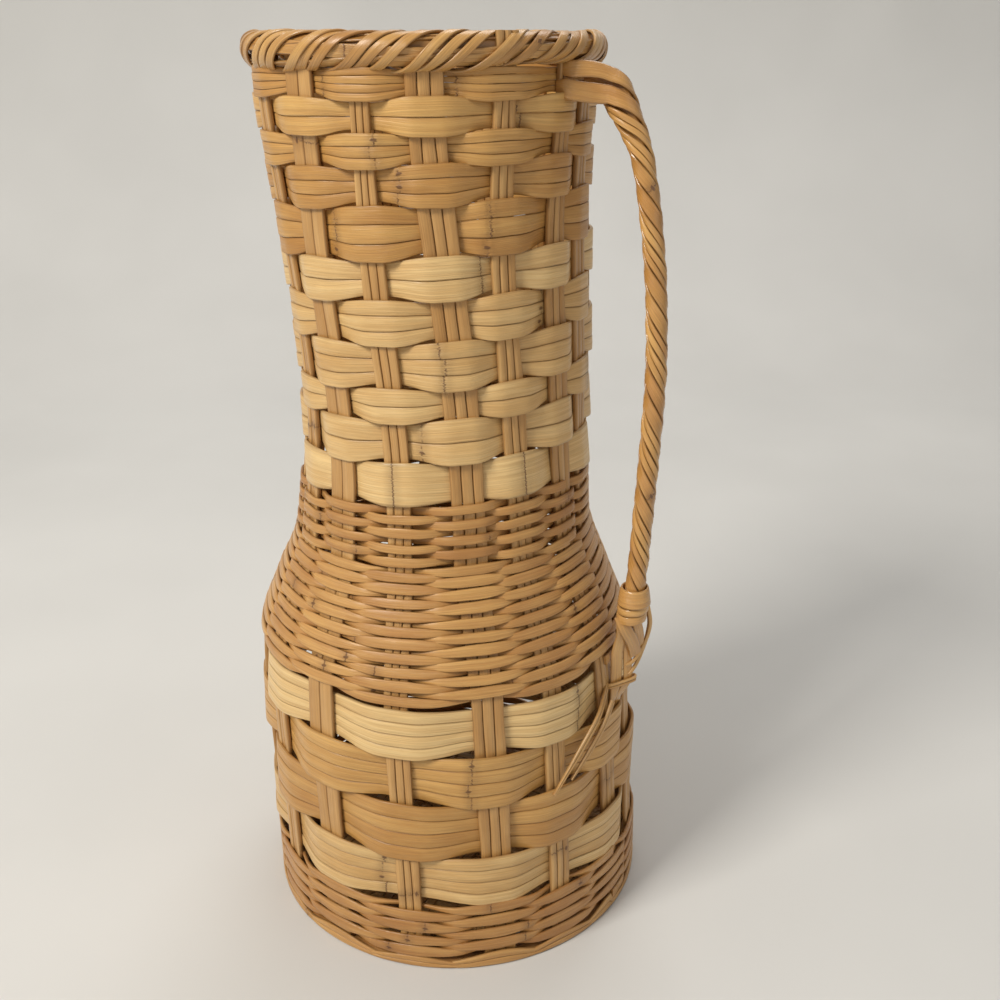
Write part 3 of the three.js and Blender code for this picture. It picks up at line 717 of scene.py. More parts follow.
class Effects:
    """The shader groups that the finishes share. Sizes of the knots are in metres."""

    LINE = (0.00005, 0.0006)
    STAIN = (0.0006, 0.006)
    RIDGE = (0.0, 0.0024)
    REACH = (0.008, 0.010)
    STRAY = 0.0012
    RAGGEDNESS = 0.0034
    EYE_SCALE = (500.0, 900.0, 0.0)
    EYE_EDGE = (0.45, 0.9)
    EYE_RARITY = (0.72, 0.74)

    def __init__(self) -> None:
        """Build each group."""
        self.grain = self._grain()
        self.knots = self._knots()

    def _grain(self) -> bpy.types.NodeTree:
        """Build long fibres, streaks and broad patches that run along a reed."""
        tree = bpy.data.node_groups.new("long grain", "ShaderNodeTree")
        n = Nodes(tree)
        n.sockets("Float", "Along", "Across", "Fineness")
        n.sockets("Float", "Streaks", "Fibres", "Patches", output=True)
        given = n.given()
        across = given["Across"] * given["Fineness"]

        def streak(along: float, wide: float, detail: float) -> Wire:
            where = n.joined(given["Along"] * along, across * wide)
            inputs = {"Vector": where, "Scale": 1.0, "Detail": detail, "Roughness": 0.6}
            return n.wire("ShaderNodeTexNoise", inputs, noise_dimensions="2D")

        streaks = n.graded(streak(along=14.0, wide=520.0, detail=2.0), 0.3, 0.7)
        fibres = n.graded(streak(along=28.0, wide=2300.0, detail=3.0), 0.32, 0.68)
        patches = n.graded(streak(along=22.0, wide=60.0, detail=3.0), 0.3, 0.7)
        n.add("NodeGroupOutput", {"Streaks": streaks, "Fibres": fibres, "Patches": patches})
        return tree

    def _knots(self) -> bpy.types.NodeTree:
        """Build the ragged line, the stain and the ridge where a leaf left the cane, and a few dark eyes."""
        tree = bpy.data.node_groups.new("cane knots", "ShaderNodeTree")
        n = Nodes(tree)
        n.sockets("Float", "Distance", "Shift", "Across", "Tone")
        n.sockets("Float", "Line", "Stain", "Ridge", output=True)
        given = n.given()
        tone, across = given["Tone"], given["Across"]

        def wave(fineness: float, detail: float) -> Wire:
            return n.noise(n.joined(across * fineness, tone * 40.0), detail) - 0.5

        own = n.math("SINE", tone * 91.0) * self.STRAY
        place = given["Shift"] - (own + wave(fineness=1400.0, detail=3.0) * self.RAGGEDNESS)
        near = abs(place)
        close = n.faded(given["Distance"], *self.REACH)
        strength = n.graded(wave(fineness=700.0, detail=1.0) + tone * 0.3, -0.1, 0.3)
        line = n.faded(near, *self.LINE) * strength
        oval = n.vector("MULTIPLY", {0: n.joined(place, across), 1: self.EYE_SCALE})
        reach = n.wire("ShaderNodeVectorMath", {0: oval}, "Value", operation="LENGTH")
        rare = n.graded(n.math("FRACT", tone * 17.0), *self.EYE_RARITY)
        eye = n.faded(reach, *self.EYE_EDGE) * rare
        marks = {
            "Line": n.math("MAXIMUM", line, eye) * close,
            "Stain": n.faded(near, *self.STAIN) * close,
            "Ridge": n.faded(near, *self.RIDGE) * close,
        }
        n.add("NodeGroupOutput", marks)
        return tree


@dataclass(frozen=True)
class ReedFinish:
    """The finish of one kind of reed."""

    name: str
    pale: Colour
    deep: Colour
    variation: float = 0.55
    fineness: float = 1.0
    roughness: float = 0.42
    coat: float = 0.25
    coat_roughness: float = 0.28
    patchiness: float = 0.35
    streakiness: float = 0.35
    fibre_dark: float = 0.2
    # Painted shade: each reed darkens towards its edges, where it meets the crevice beside the next. These
    # two set where that starts and how dark it gets.
    painted_edge_shade_start: float = 0.78
    painted_edge_shade: float = 0.35
    stain_dark: float = 0.22
    line_dark: float = 0.8
    grain_depth: float = 0.35
    ridge_height: float = 1.4
    line_depth: float = 1.6
    bump_depth: float = 0.00035
    bump_strength: float = 0.6
    smoother: float = 0.07
    rougher: float = 0.13
    gloss: float = 0.45

    def material(self, effects: Effects) -> bpy.types.Material:
        """Make the finish's material from the shared shader groups."""
        made = bpy.data.materials.new(self.name)
        made.use_nodes = True
        made.node_tree.nodes.clear()
        n = Nodes(made.node_tree)

        def read(name: str) -> Wire:
            return n.wire("ShaderNodeAttribute", output="Fac", attribute_name=name)

        tone = read("tone")
        place = n.add("ShaderNodeSeparateXYZ", {0: n.wire("ShaderNodeUVMap", uv_map="reed")})
        along, across = n.wires("X", "Y", of=place)
        inputs = {"Along": along, "Across": across, "Fineness": self.fineness}
        grain = n.add("ShaderNodeGroup", inputs, node_tree=effects.grain)
        inputs = {"Distance": read("knot"), "Shift": read("shift"), "Across": across, "Tone": tone}
        knots = n.add("ShaderNodeGroup", inputs, node_tree=effects.knots)
        streaks, fibres, patches = n.wires("Streaks", "Fibres", "Patches", of=grain)
        line, stain, ridge = n.wires("Line", "Stain", "Ridge", of=knots)
        own = (tone - 0.5) * self.variation
        broad = (patches - 0.5) * self.patchiness
        paleness = n.math("ADD", read("shade") + own, broad, clamp=True)
        colour = n.blended(paleness, (*self.deep, 1), (*self.pale, 1))
        colour = n.blended(n.graded(streaks, 0.0, 1.0, 0.0, self.streakiness), colour, (*self.deep, 1))
        fibre = (1.0 - fibres) * self.fibre_dark
        # Painted shade at each reed's edges, standing in for the shade in the crevices between reeds.
        edge = n.graded(abs(read("side")), self.painted_edge_shade_start, 1.0, 0.0, self.painted_edge_shade)
        for amount in (fibre, edge, stain * self.stain_dark, line * self.line_dark):
            colour = n.blended(amount, colour, DARK_REED)
        least, most = self.roughness - self.smoother, self.roughness + self.rougher
        rough = n.graded(streaks + line, 0.0, 1.4, least, most)
        height = fibres * self.grain_depth + streaks * self.grain_depth
        height = height + ridge * self.ridge_height - line * self.line_depth
        bump = {"Height": height, "Strength": self.bump_strength, "Distance": self.bump_depth}
        surface = {
            "Base Color": colour,
            "Roughness": rough,
            "Normal": n.wire("ShaderNodeBump", bump),
            "Coat Weight": self.coat,
            "Coat Roughness": self.coat_roughness,
            "Specular IOR Level": self.gloss,
        }
        n.add("ShaderNodeOutputMaterial", {"Surface": n.wire("ShaderNodeBsdfPrincipled", surface)})
        return made


@dataclass
class Workshop:
    """What every sub-assembly needs: the wall, the reed maker and the finishes."""

    wall: Wall
    maker: ReedMaker
    finishes: dict[str, bpy.types.Material]

    def lay(self, node: str, paths: Sequence[ReedPath], cut: ReedCut, finish: str) -> None:
        """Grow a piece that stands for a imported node.

        Args:
            node: The node's name.
            paths: The paths that its reeds follow.
            cut: How the reeds are cut.
            finish: The name of their finish.
        """
        piece = self.maker.grow(node + "_reeds", paths, cut, self.finishes[finish])
        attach(piece, "root")
        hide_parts(node)
        log.info("%s: %d faces", piece.name, len(piece.data.polygons))


@dataclass
class Stakes:
    """The uprights: bundles of flat reeds from the folded feet to the rim."""

    foot_length: float = 22.0
    bend: float = 2.6
    step: float = 3.0
    tucked: float = 4.6
    two_reeds: tuple[int, ...] = (3, 6, 8, 12)
    tip_stake: int = 15
    tip_height: float = 458.4
    tip_out: float = 3.0
    tip_straight: float = 5.0
    trims: dict[int, Pair] = field(
        default_factory=lambda: {0: (4.4, 0.0), 13: (2.4, 1.6), 15: (1.2, 0.0)}
    )

    def path(self, wall: Wall, stake: int, height: float) -> ReedPath:
        """Lay the path of a stake, counted from zero, up to a height."""
        low = wall.seat + wall.stake_thickness / 2
        angle = wall.stake_angle(stake, 0)
        radial = heading(angle)
        toe = wall.foot_radius - self.foot_length
        corner = wall.foot_radius - self.bend
        controls = [(radial * mix(toe, corner, share) + UP * low, -UP) for share in (0, 0.5, 1)]
        # One point in the middle of the bend rounds it.
        turning = radial * (wall.foot_radius - 0.25 * self.bend) + UP * (low + 0.3 * self.bend)
        controls.append((turning, radial - UP))
        start = low + self.bend
        steps = round((height - start) / self.step)
        left, right = self.trims.get(stake, (0.0, 0.0))
        for i in range(steps + 1):
            z = mix(start, height, i / steps)
            turned = wall.stake_angle(stake, z)
            sideways = wall.straying(z) * (left - right) / 2
            controls.append((wall.point(turned, z, 0, sideways), wall.normal(turned, min(z, wall.neck_top))))
        if stake == self.tip_stake:
            turned = wall.stake_angle(stake, height)
            facing = controls[-1][1]
            controls[-1] = (wall.point(turned, wall.neck_top, 0.4 * self.tip_out), facing)
            top = wall.point(turned, wall.neck_top, self.tip_out)
            controls.append((top + UP * self.tip_straight, facing))
            controls.append((Vector((top.x, top.y, self.tip_height)), facing))
        # Steps of 137 mm scatter the knots over 260 mm of the stakes.
        knot = (stake * 137 + 60) % 260 + 40
        path = through(controls, self.step, wall.width_of(stake), wall.stake_thickness, shade=0.45)
        path.knots = [knot, knot + 250]
        for i, point in enumerate(path.points):
            path.widths[i] -= wall.straying(point.z) * (left + right)
        return path

    def build(self, shop: Workshop) -> None:
        """Build the sixteen stakes."""
        for stake in range(shop.wall.stakes):
            height = shop.wall.neck_top + self.tucked
            reeds = 2 if stake in self.two_reeds else 3
            cut = ReedCut(reeds=reeds, gap=0.16, crown=0.35, wander=0.9, lift=0.5, ripple=28.0)
            node = f"stake_{stake + 1:02d}"
            shop.lay(node, [self.path(shop.wall, stake, height)], cut, "stake")


@dataclass(frozen=True)
class BandLook:
    """How one wide band looks: its reeds, finish and paleness, and its knots' angles in degrees."""

    reeds: int
    finish: str
    shade: float
    knots: tuple[float, ...] = ()


@dataclass(frozen=True)
class BandEdges:
    """The heights of a band's edges, and how far they draw in under a stake and spread over one."""

    low: float
    high: float
    wave: float
    spread_below: float
    spread_above: float

    def at(self, over: float) -> Pair:
        """Return both edges' heights at a share of the way from under a stake to over the next."""
        low = mix(self.low + self.wave, self.low - self.spread_below, over)
        return low, mix(self.high - self.wave, self.high + self.spread_above, over)


@dataclass
class Bands:
    """The wide courses in check weave, each a hoop of flat reeds split from one strip."""

    fineness: int = 16
    handle_node: str = "belly_band_3"
    handle_reach: float = 0.42
    handle_ease: float = 1.6
    end_thickness: float = 1.4

    def path(self, wall: Wall, edges: BandEdges, course: Course, look: BandLook, holds: bool) -> ReedPath:
        """Lay a band's path, which begins and ends behind a stake.

        Args:
            wall: The wall.
            edges: Where its edges run.
            course: Which stakes it passes over.
            look: How it looks.
            holds: Whether the handle's flat ends tuck in behind it.

        Returns:
            The path.
        """
        offset = wall.stake_face + wall.band_thickness / 2
        back = wall.stakes // 2 + 1
        first = back if course.side(back) < 0 else back + 1
        stations, angles = [], []
        for i in range(wall.stakes * self.fineness):
            place = first + i / self.fineness
            stake = math.floor(place)
            swing = swing_between(place - stake) * course.side(stake)
            low, high = edges.at((1 + swing) / 2)
            out = offset * swing
            if holds:
                beside = abs(math.remainder(place, wall.stakes))
                share = smooth(self.handle_ease - beside / self.handle_reach)
                out += (self.end_thickness + wall.clearance) * share
            middle = (low + high) / 2
            angle = wall.angle_between(place, middle)
            stations.append((wall.point(angle, middle, out), wall.normal(angle, middle), high - low))
            angles.append(math.degrees(angle))
        path = laid_along(stations, wall.band_thickness, closed=True, shade=look.shade)
        lengths = lengths_along(path.points)
        for knot in look.knots:
            nearest = min(zip(angles, lengths), key=lambda pair: abs(math.remainder(pair[0] - knot, 360)))
            path.knots = [*path.knots, nearest[1]]
        return path

    def build(
        self,
        shop: Workshop,
        name: str,
        bottom: float,
        heights: Sequence[float],
        first: Course,
        looks: Sequence[BandLook],
    ) -> None:
        """Build a stack of bands.

        Args:
            shop: The workshop.
            name: The start of their nodes' names, with its digits' form.
            bottom: The height of the lowest band's lower edge.
            heights: The height of each band.
            first: Which stakes the lowest band passes over.
            looks: How each band looks.
        """
        courses = [first, Course(1 - first.value)]
        wave = shop.wall.band_wave
        inset = shop.wall.course_gap / 2
        for i, (height, look) in enumerate(zip(heights, looks)):
            node = name.format(i + 1)
            below = wave if i > 0 else 0.0
            above = wave if i < len(heights) - 1 else 0.0
            edges = BandEdges(bottom + inset, bottom + height - inset, wave, below, above)
            path = self.path(shop.wall, edges, courses[i % 2], look, node == self.handle_node)
            cut = ReedCut(reeds=look.reeds, gap=0.08, crown=0.12, wander=0.7, lift=0.4)
            shop.lay(node, [path], cut, look.finish)
            bottom += height


@dataclass(frozen=True)
class RowLook:
    """How fine rows look: a weaver's width over a stake and under it, its shade, and where it changes sides.

    The places where it dives and rises are shares of the way from one stake to the next. Above 1, blunt keeps
    its full width for longer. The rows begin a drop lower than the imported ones, with one row more.
    """

    over: float
    under: float
    shade: float = 0.5
    drop: float = 0.0
    dive: Pair = (0.2, 0.8)
    rise: Pair = (0.2, 0.8)
    blunt: float = 1.0
    taper: float = 1.3

    def at(self, side: int, between: float) -> Pair:
        """Work out how a weaver runs between two stakes.

        Args:
            side: 1 where it leaves the outside of a stake, and -1 where it comes from the inside.
            between: The share of the way from that stake to the next.

        Returns:
            How far out it is, from -1 inside to 1 outside, and its width.
        """
        start, end = self.dive if side > 0 else self.rise
        swing = side * (1 - 2 * smooth((between - start) / (end - start)))
        fullness = smooth(self.blunt * (1 - between if side > 0 else between)) ** self.taper
        return swing, mix(self.under, self.over, fullness)


LONG_FLOATS = {"dive": (0.4, 1.0), "rise": (0.0, 0.6)}


@dataclass
class FineWeaving:
    """Rows of fine weaving: two long weavers that chase each other up in spirals."""

    look: RowLook
    fineness: int = 14
    wobble: float = 0.55
    width_wander: float = 0.15
    first_knot: Pair = (60, 240)
    knot_spacing: Pair = (180, 330)

    def path(self, wall: Wall, bottom: float, rows: int, row: float, course: Course, first: int) -> ReedPath:
        """Lay a weaver's path.

        Args:
            wall: The wall.
            bottom: The height where the rows begin.
            rows: The number of rows.
            row: The height of a row.
            course: Which stakes it passes over on its first turn.
            first: The stake where it begins.

        Returns:
            The path.
        """
        offset = wall.stake_face + wall.weaver_thickness / 2
        lowest = bottom + (wall.course_gap + wall.weaver_over * row) / 2
        crossings = wall.stakes * (rows - 1) // 2
        draw = random.Random(first * 31 + rows)
        ripple = [draw.uniform(-1, 1) for _ in range(crossings + 2)]
        stations = []
        for i in range(crossings * self.fineness + 1):
            place = i / self.fineness
            stake, between = math.floor(place), place - math.floor(place)
            swing, width = self.look.at(course.side(first + stake), between)
            wander = mix(ripple[stake], ripple[stake + 1], smooth(between)) * self.wobble
            height = lowest + (place / wall.stakes) * 2 * row + wander
            angle = wall.angle_between(first + place, height)
            point = wall.point(angle, height, offset * swing)
            stations.append((point, wall.normal(angle, height), width * (1 + self.width_wander * wander)))
        path = laid_along(stations, wall.weaver_thickness, shade=self.look.shade)
        total = lengths_along(path.points)[-1]
        path.knots = [draw.uniform(*self.first_knot)]
        while path.knots[-1] < total:
            path.knots.append(path.knots[-1] + draw.uniform(*self.knot_spacing))
        return path

    def build(self, shop: Workshop, name: str, bottom: float, rows: int, row: float) -> None:
        """Build a pair of weavers.

        Args:
            shop: The workshop.
            name: The start of their nodes' names.
            bottom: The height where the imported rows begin.
            rows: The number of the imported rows.
            row: The height of a row.
        """
        cut = ReedCut(reeds=1, gap=0.0, crown=0.35, wander=0.5, lift=0.35, ripple=60.0)
        for letter, course, first in (("a", Course.EVEN, 0), ("b", Course.ODD, shop.wall.stakes // 2)):
            path = self.path(shop.wall, bottom - self.look.drop, rows + 1, row, course, first)
            shop.lay(f"{name}_{letter}", [path], cut, "weaver")


@dataclass
class Bottom:
    """What the vase stands on: a border of flat reed, and a mat of strips in plain weave."""

    twined_width: float = 4.0
    twined_under: float = 1.6
    twined_fill: float = 2.0
    twined_thickness: float = 1.5
    twined_dip: float = 0.75
    twined_lift: float = 0.4
    twined_inset: float = 0.1
    strip_wave: float = 0.9
    strip_flatness: float = 0.7
    ring_steps: int = 160
    strip: float = 12.0
    strip_width: float = 11.2
    thickness: float = 1.5
    step: float = 3.0

    def border(self, wall: Wall) -> list[ReedPath]:
        """Lay the border: a flat ring that the stakes' feet lie on, and two reeds that twine round it."""
        outer = wall.foot_radius + wall.band_face
        radius = outer - self.twined_thickness - wall.foot_width / 2
        stations = []
        for out, _ in around(self.ring_steps):
            stations.append((out * radius + UP * (wall.foot_height / 2), -UP, wall.foot_width))
        ring = laid_along(stations, wall.foot_height, closed=True, shade=0.35, knots=(90.0, 340.0, 520.0))
        return [ring, *(self.twined(wall, outer, course) for course in Course)]

    def twined(self, wall: Wall, outer: float, course: Course) -> ReedPath:
        """Lay one of the two reeds that twine round the border.

        Args:
            wall: The wall.
            outer: The radius that it keeps within.
            course: Which stakes it passes outside of.

        Returns:
            The path.
        """
        fineness = 12
        half = wall.stakes // 2
        stations = []
        for i in range(wall.stakes * fineness):
            place = i / fineness
            stake = math.floor(place)
            over = self.twined_width + wall.base_row * (place % half) / half
            if (course is Course.ODD) == (place < half):
                over += self.twined_fill
            look = RowLook(over, self.twined_under, **LONG_FLOATS)
            swing, width = look.at(course.side(stake), place - stake)
            out = heading(wall.angle_between(place, 0))
            radius = outer - self.twined_inset - self.twined_thickness / 2 - self.twined_dip * (1 - swing)
            stations.append((out * radius + UP * (width / 2 + self.twined_lift), out, width))
        return laid_along(stations, self.twined_thickness, closed=True, knots=(150.0, 460.0))

    def mat(self, wall: Wall) -> list[ReedPath]:
        """Lay the mat's strips, both ways."""
        reach = wall.foot_radius + wall.band_face - wall.foot_width - wall.clearance
        half = int(reach // self.strip)
        paths = []
        for way in (0, 1):
            for number in range(-half, half + 1):
                across = number * self.strip
                length = math.sqrt(reach**2 - (abs(across) + self.strip_width / 2) ** 2)
                steps = max(4, round(2 * length / self.step))
                stations = []
                for i in range(steps + 1):
                    along = mix(-length, length, i / steps)
                    swing = math.cos(math.pi * (along / self.strip + number + way))
                    z = wall.foot_height / 2 + self.strip_wave * bowed(swing, self.strip_flatness)
                    point = Vector((along, across, z) if way else (across, along, z))
                    stations.append((point, -UP, self.strip_width))
                shade = 0.5 + 0.2 * math.sin(number * 2.3 + way)
                paths.append(laid_along(stations, self.thickness, shade=shade))
        return paths

    def build(self, shop: Workshop) -> None:
        """Build the border and the mat."""
        cut = ReedCut(reeds=2, gap=0.12, crown=0.4, wander=0.5, lift=0.05, ripple=40.0)
        shop.lay("foot_border", self.border(shop.wall), cut, "weaver")
        cut = ReedCut(reeds=2, gap=0.25, crown=0.2, wander=0.3, lift=0.0)
        shop.lay("base_mat", self.mat(shop.wall), cut, "stake")


@dataclass(frozen=True)
class RimReed:
    """One reed of the rim: its size and shade, and how far off the rim's middle and to one side it lies."""

    width: float
    thickness: float
    off: float
    aside: float
    shade: float
    knots: tuple[float, ...]


@dataclass
class Rim:
    """The rolled rim: level reeds on the stakes' ends, and bundles of flat reeds rolled round them."""

    core_radius: float = 3.4
    strand_width: float = 9.4
    strand_thickness: float = 2.0
    strands: int = 3
    turns: int = 6
    steepness: float = 0.12
    phase: float = -0.13
    drop: float = 0.9
    sag: float = 2.6
    level_reeds: int = 6
    level_off: float = 4.3
    level_width: float = 6.0
    wrap_off: float = 5.9
    wrap_reed: float = 4.1
    wrap_thickness: float = 1.3
    wrap_spacing: float = 1.02
    middle_sink: float = 0.25
    sides_rise: float = 0.35
    fineness: int = 468
    handle_angle: float = -0.18
    handle_reach: float = 0.5
    handle_ease: float = 0.3
    level_thickness: float = 1.2
    level_stray: float = 0.06
    wrap_strays: Pair = (0.014, 0.010)

    def centre(self, wall: Wall, angle: float) -> Vector:
        """Return the middle of the rim at an angle."""
        inner = self.core_radius + wall.clearance
        outer = math.hypot(inner + self.strand_thickness, self.strand_width / 2)
        height = wall.neck_top + wall.clearance + outer - self.drop
        return heading(angle) * wall.mouth_radius + Vector((wall.mouth_lean, 0, height))

    def ring(self, wall: Wall, turns: Callable[[float], float], reed: RimReed) -> ReedPath:
        """Lay a closed path round the rim.

        Args:
            wall: The wall.
            turns: From a share of the way round to the turns made about the rim's middle.
            reed: The reed that follows it.

        Returns:
            The path.
        """
        stations = []
        near = 0.001
        for i in range(self.fineness):
            share = i / self.fineness
            rate = (turns(share + near) - turns(share - near)) / (2 * near)
            slope = math.atan2(rate * reed.off, wall.mouth_radius)
            angle = TURN * share - reed.aside * math.sin(slope) / wall.mouth_radius
            turned = TURN * turns(share) + reed.aside * math.cos(slope) / reed.off
            out = heading(angle) * math.cos(turned) + UP * math.sin(turned)
            beside = abs(math.remainder(angle - self.handle_angle, TURN))
            low = (1 - out.z) / 2 * smooth(beside / self.handle_reach - self.handle_ease)
            point = self.centre(wall, angle) + out * reed.off - UP * (self.sag * low * low)
            stations.append((point, out, reed.width))
        return laid_along(stations, reed.thickness, closed=True, shade=reed.shade, knots=reed.knots)

    def level(self, wall: Wall, number: int) -> ReedPath:
        """Lay one of the level reeds under the wraps."""
        start = number / self.level_reeds

        def turns(share: float) -> float:
            return start + self.level_stray * math.sin(TURN * (2 * share + 3 * start))

        shade = 0.35 + 0.2 * (number % 3)
        knots = (90.0 + 60 * number, 400.0)
        reed = RimReed(self.level_width, self.level_thickness, self.level_off, 0.0, shade, knots)
        return self.ring(wall, turns, reed)

    def wrap(self, wall: Wall, number: int) -> list[ReedPath]:
        """Lay the flat reeds of one bundle that rolls round the level reeds, side by side."""
        first = number / self.strands + self.phase
        draw = random.Random(number + 5)
        reeds = []
        for place in (-1, 0, 1):
            phase = draw.random()

            def turns(share: float, phase: float = phase) -> float:
                even = first + share * self.turns
                slow, quick = self.wrap_strays
                stray = slow * math.sin(TURN * (5 * share + phase))
                stray += quick * math.sin(TURN * (13 * share - phase))
                return even + self.steepness * math.sin(TURN * even) + stray

            reed = RimReed(
                width=self.wrap_reed,
                thickness=self.wrap_thickness,
                off=self.wrap_off + (self.sides_rise if place else -self.middle_sink),
                aside=place * self.wrap_reed * self.wrap_spacing,
                shade=draw.uniform(0.35, 0.75),
                knots=(draw.uniform(40, 400), draw.uniform(500, 800)),
            )
            reeds.append(self.ring(wall, turns, reed))
        return reeds

    def build(self, shop: Workshop) -> None:
        """Build the rim's level reeds and its rolled bundles."""
        level = [self.level(shop.wall, number) for number in range(self.level_reeds)]
        heart = RimReed(2 * self.core_radius, 2 * self.core_radius, 0.1, 0.0, 0.4, ())
        level.append(self.ring(shop.wall, lambda share: 0.25, heart))
        cut = ReedCut(reeds=1, gap=0.1, crown=0.35, wander=0.3, lift=0.5)
        shop.lay("rim_core", level, cut, "rim")
        cut = ReedCut(reeds=1, gap=0.0, crown=0.35, wander=0.5, lift=0.9, ripple=55.0)
        for number in range(self.strands):
            shop.lay(f"rim_strand_{number + 1}", self.wrap(shop.wall, number), cut, "rim")


@dataclass(frozen=True)
class Loop:
    """A loop that hooks round a stake under the rim and runs out into a strand of the rope.

    It lies its rise over its place, begins its trim short of the stake's edge, sags on its way, and joins its
    strand a lead down the rope.
    """

    rise: float
    width: float
    trim: float
    sag: float
    lead: float


@dataclass
class Handle:
    """The handle: a rope of flat reeds, its two loops under the rim, and its bound and tucked foot.

    The rope's shape is pairs: a share of the height from the belly's top to the neck's, and one of the bow.
    A wrap is its rise, width and slope. A station at the foot is a height over the belly's top, how far to
    one side, and how far out. A tail's is an angle in degrees, and shares of its drop and of its rise.
    """

    stake: int = 0
    samples: int = 900
    step: float = 2.0
    bow: float = 29.5
    shape: tuple[Pair, ...] = (
        (0.973, 0.353), (0.944, 0.539), (0.915, 0.671), (0.88, 0.807), (0.826, 0.902), (0.728, 0.983),
        (0.632, 1.0), (0.518, 0.946), (0.391, 0.8), (0.208, 0.563), (0.122, 0.437), (0.029, 0.271),
    )
    foot_angle: float = math.radians(-0.8)
    foot_facing: float = math.radians(-40)
    core_radius: float = 2.8
    core_spread: float = 2.6
    strand_width: float = 5.8
    strand_thickness: float = 1.5
    strands: int = 4
    strand_steps: int = 150
    pitch: float = 48.0
    first_turn: float = 0.62
    loops: tuple[Loop, ...] = (Loop(1.5, 7.4, 8.2, 0.0, 12.0), Loop(0.2, 8.8, 6.0, 3.4, 17.0))
    loop_room: float = 5.9
    loop_tilt: float = 0.34
    loop_bulge: float = 9.0
    loop_reach: float = 26.0
    loop_hold: float = 0.6
    loop_tip: float = 0.6
    loop_taper: float = 5.0
    loop_hook: float = 1.6
    top_spread: float = 4.8
    top_spread_length: float = 50.0
    top_spread_lead: float = 18.0
    foot_spread: float = 2.4
    foot_spread_length: float = 20.0
    binding_height: float = 19.5
    binding_rise: float = 33.5
    binding_thickness: float = 2.0
    wraps: tuple[Triple, ...] = ((4.6, 9.8, 0.3), (-2.4, 3.8, 0.8), (-7.0, 4.8, 1.0))
    wrap_thickness: float = 1.4
    wrap_step: float = 0.2
    wrap_lean: float = 0.16
    highest_angle: float = 1.1
    end_width: float = 5.6
    end_thickness: float = 1.4
    tuck_depth: float = 10.0
    tuck_taper: float = 10.0
    end_widths: Pair = (6.6, 4.8)
    ends: tuple[tuple[Triple, ...], ...] = (
        ((25, -5, -1.5), (18, -3.4, 0.5), (12, -1.8, 0.6), (4.5, -1.4, 0.3), (-5, 0, 0), (-13.4, -0.3, 0)),
        ((25, 0, -1.5), (16, 1.6, -0.8), (9, 3, -0.4), (2.4, 5, 0), (-7.5, 6.8, 0), (-13.4, 6.6, 0)),
    )
    crossing_widths: Pair = (7.0, 5.6)
    crossings: tuple[tuple[Triple, ...], ...] = (
        ((27, -6.6, 0), (22, -5, 2.6), (17, -1.4, 3.4), (12, 3, 3.2), (6, 7.2, 2.2), (0.5, 10, 0.8)),
        ((27, 1, 0.5), (21, 3.4, 1.6), (13, 8.2, 1.2), (6, 11, 0.2), (0.5, 11.6, -1)),
    )
    tie_width: float = 2.16
    tie_thickness: float = 1.2
    ties: tuple[tuple[Triple, ...], ...] = (
        (
            (31, 8.6, 0), (20, 12.4, 0), (14, 14.4, 0), (8, 14.9, 0.2),
            (3, 12.9, 0.8), (-3, 8.6, 1.2), (-4.5, 5, 0.8),
        ),
        (
            (31, 8.4, -1.8), (20, 12.9, -1.8), (10, 15.8, -1.4),
            (2, 14.6, -0.6), (-5, 11.8, 0.2), (-10, 7.4, 0.9),
        ),
    )
    lashed_aside: float = 3.2
    lashing_drop: float = 13.4
    lashing_width: float = 3.6
    lashing_thickness: float = 1.2
    lashing_slant: float = 0.9
    lashing_room: float = 0.8
    tail_width: float = 4.2
    tail_thickness: float = 1.4
    tail_drop: float = 54.6
    tail_rise: float = 2.6
    tail_aside: float = -5.4
    tail_taper: float = 0.75
    long_tail: tuple[Triple, ...] = ((-12.2, 0.38, 0.58), (-20.4, 0.63, 0.42), (-30.5, 1.0, 0.3))
    short_tail: tuple[Triple, ...] = (
        (-6.3, 0.34, 1.0), (-11.2, 0.51, 0.92), (-16.7, 0.68, 0.54), (-24.5, 0.91, 0.3),
    )

    def prepare(self, wall: Wall) -> None:
        """Work out the rope's line and the sizes that follow from the others."""
        self.wall = wall
        self.inner = self.core_radius + 2 * wall.clearance
        outer = math.hypot(self.inner + self.strand_thickness, self.strand_width / 2)
        upper_loop = wall.neck_top - 2 * wall.clearance - self.loop_room / 2
        lower_loop = upper_loop - self.loop_room - wall.clearance
        self.loop_heights = (upper_loop, lower_loop)
        root = wall.point(0, (upper_loop + lower_loop) / 2, wall.band_face + 4 * wall.clearance)
        foot = wall.point(self.foot_angle, wall.belly_top, wall.band_face)
        controls = [root]
        for share, bow in self.shape:
            height = mix(wall.belly_top, wall.neck_top, share)
            x = mix(foot.x, root.x, share) + self.bow * bow
            controls.append(Vector((x, foot.y * (1 - share), height)))
        self.line = spline_through(controls, self.samples)
        self.length = lengths_along(self.line)[-1]
        self.binding_middle = wall.belly_top + self.binding_rise
        self.binding_bottom = self.binding_middle - self.binding_height / 2
        self.binding_radius = outer + 2 * wall.clearance + self.binding_thickness / 2
        self.lashing_height = wall.belly_top - self.lashing_drop
        self.lashed_half_depth = self.end_thickness / 2 + 1.5 * wall.clearance
        self.lashed_offset = wall.stake_face + self.lashing_thickness + self.lashed_half_depth
        self.tuck_top = wall.belly_top - wall.belly_bands[-1] + wall.band_wave
        self.bound = self._number_at(self.binding_bottom + 2) / self.samples

    def at(self, share: float) -> Vector:
        """Return the middle of the rope at a share of its length."""
        place = min(1.0, max(0.0, share)) * self.samples
        i = min(self.samples - 1, int(place))
        return self.line[i].lerp(self.line[i + 1], place - i)

    def _number_at(self, height: float) -> int:
        """Return the number of the point where the line's lower half comes down to a height."""
        half = self.samples // 2
        return next((i for i in range(half, self.samples) if self.line[i].z <= height), self.samples)

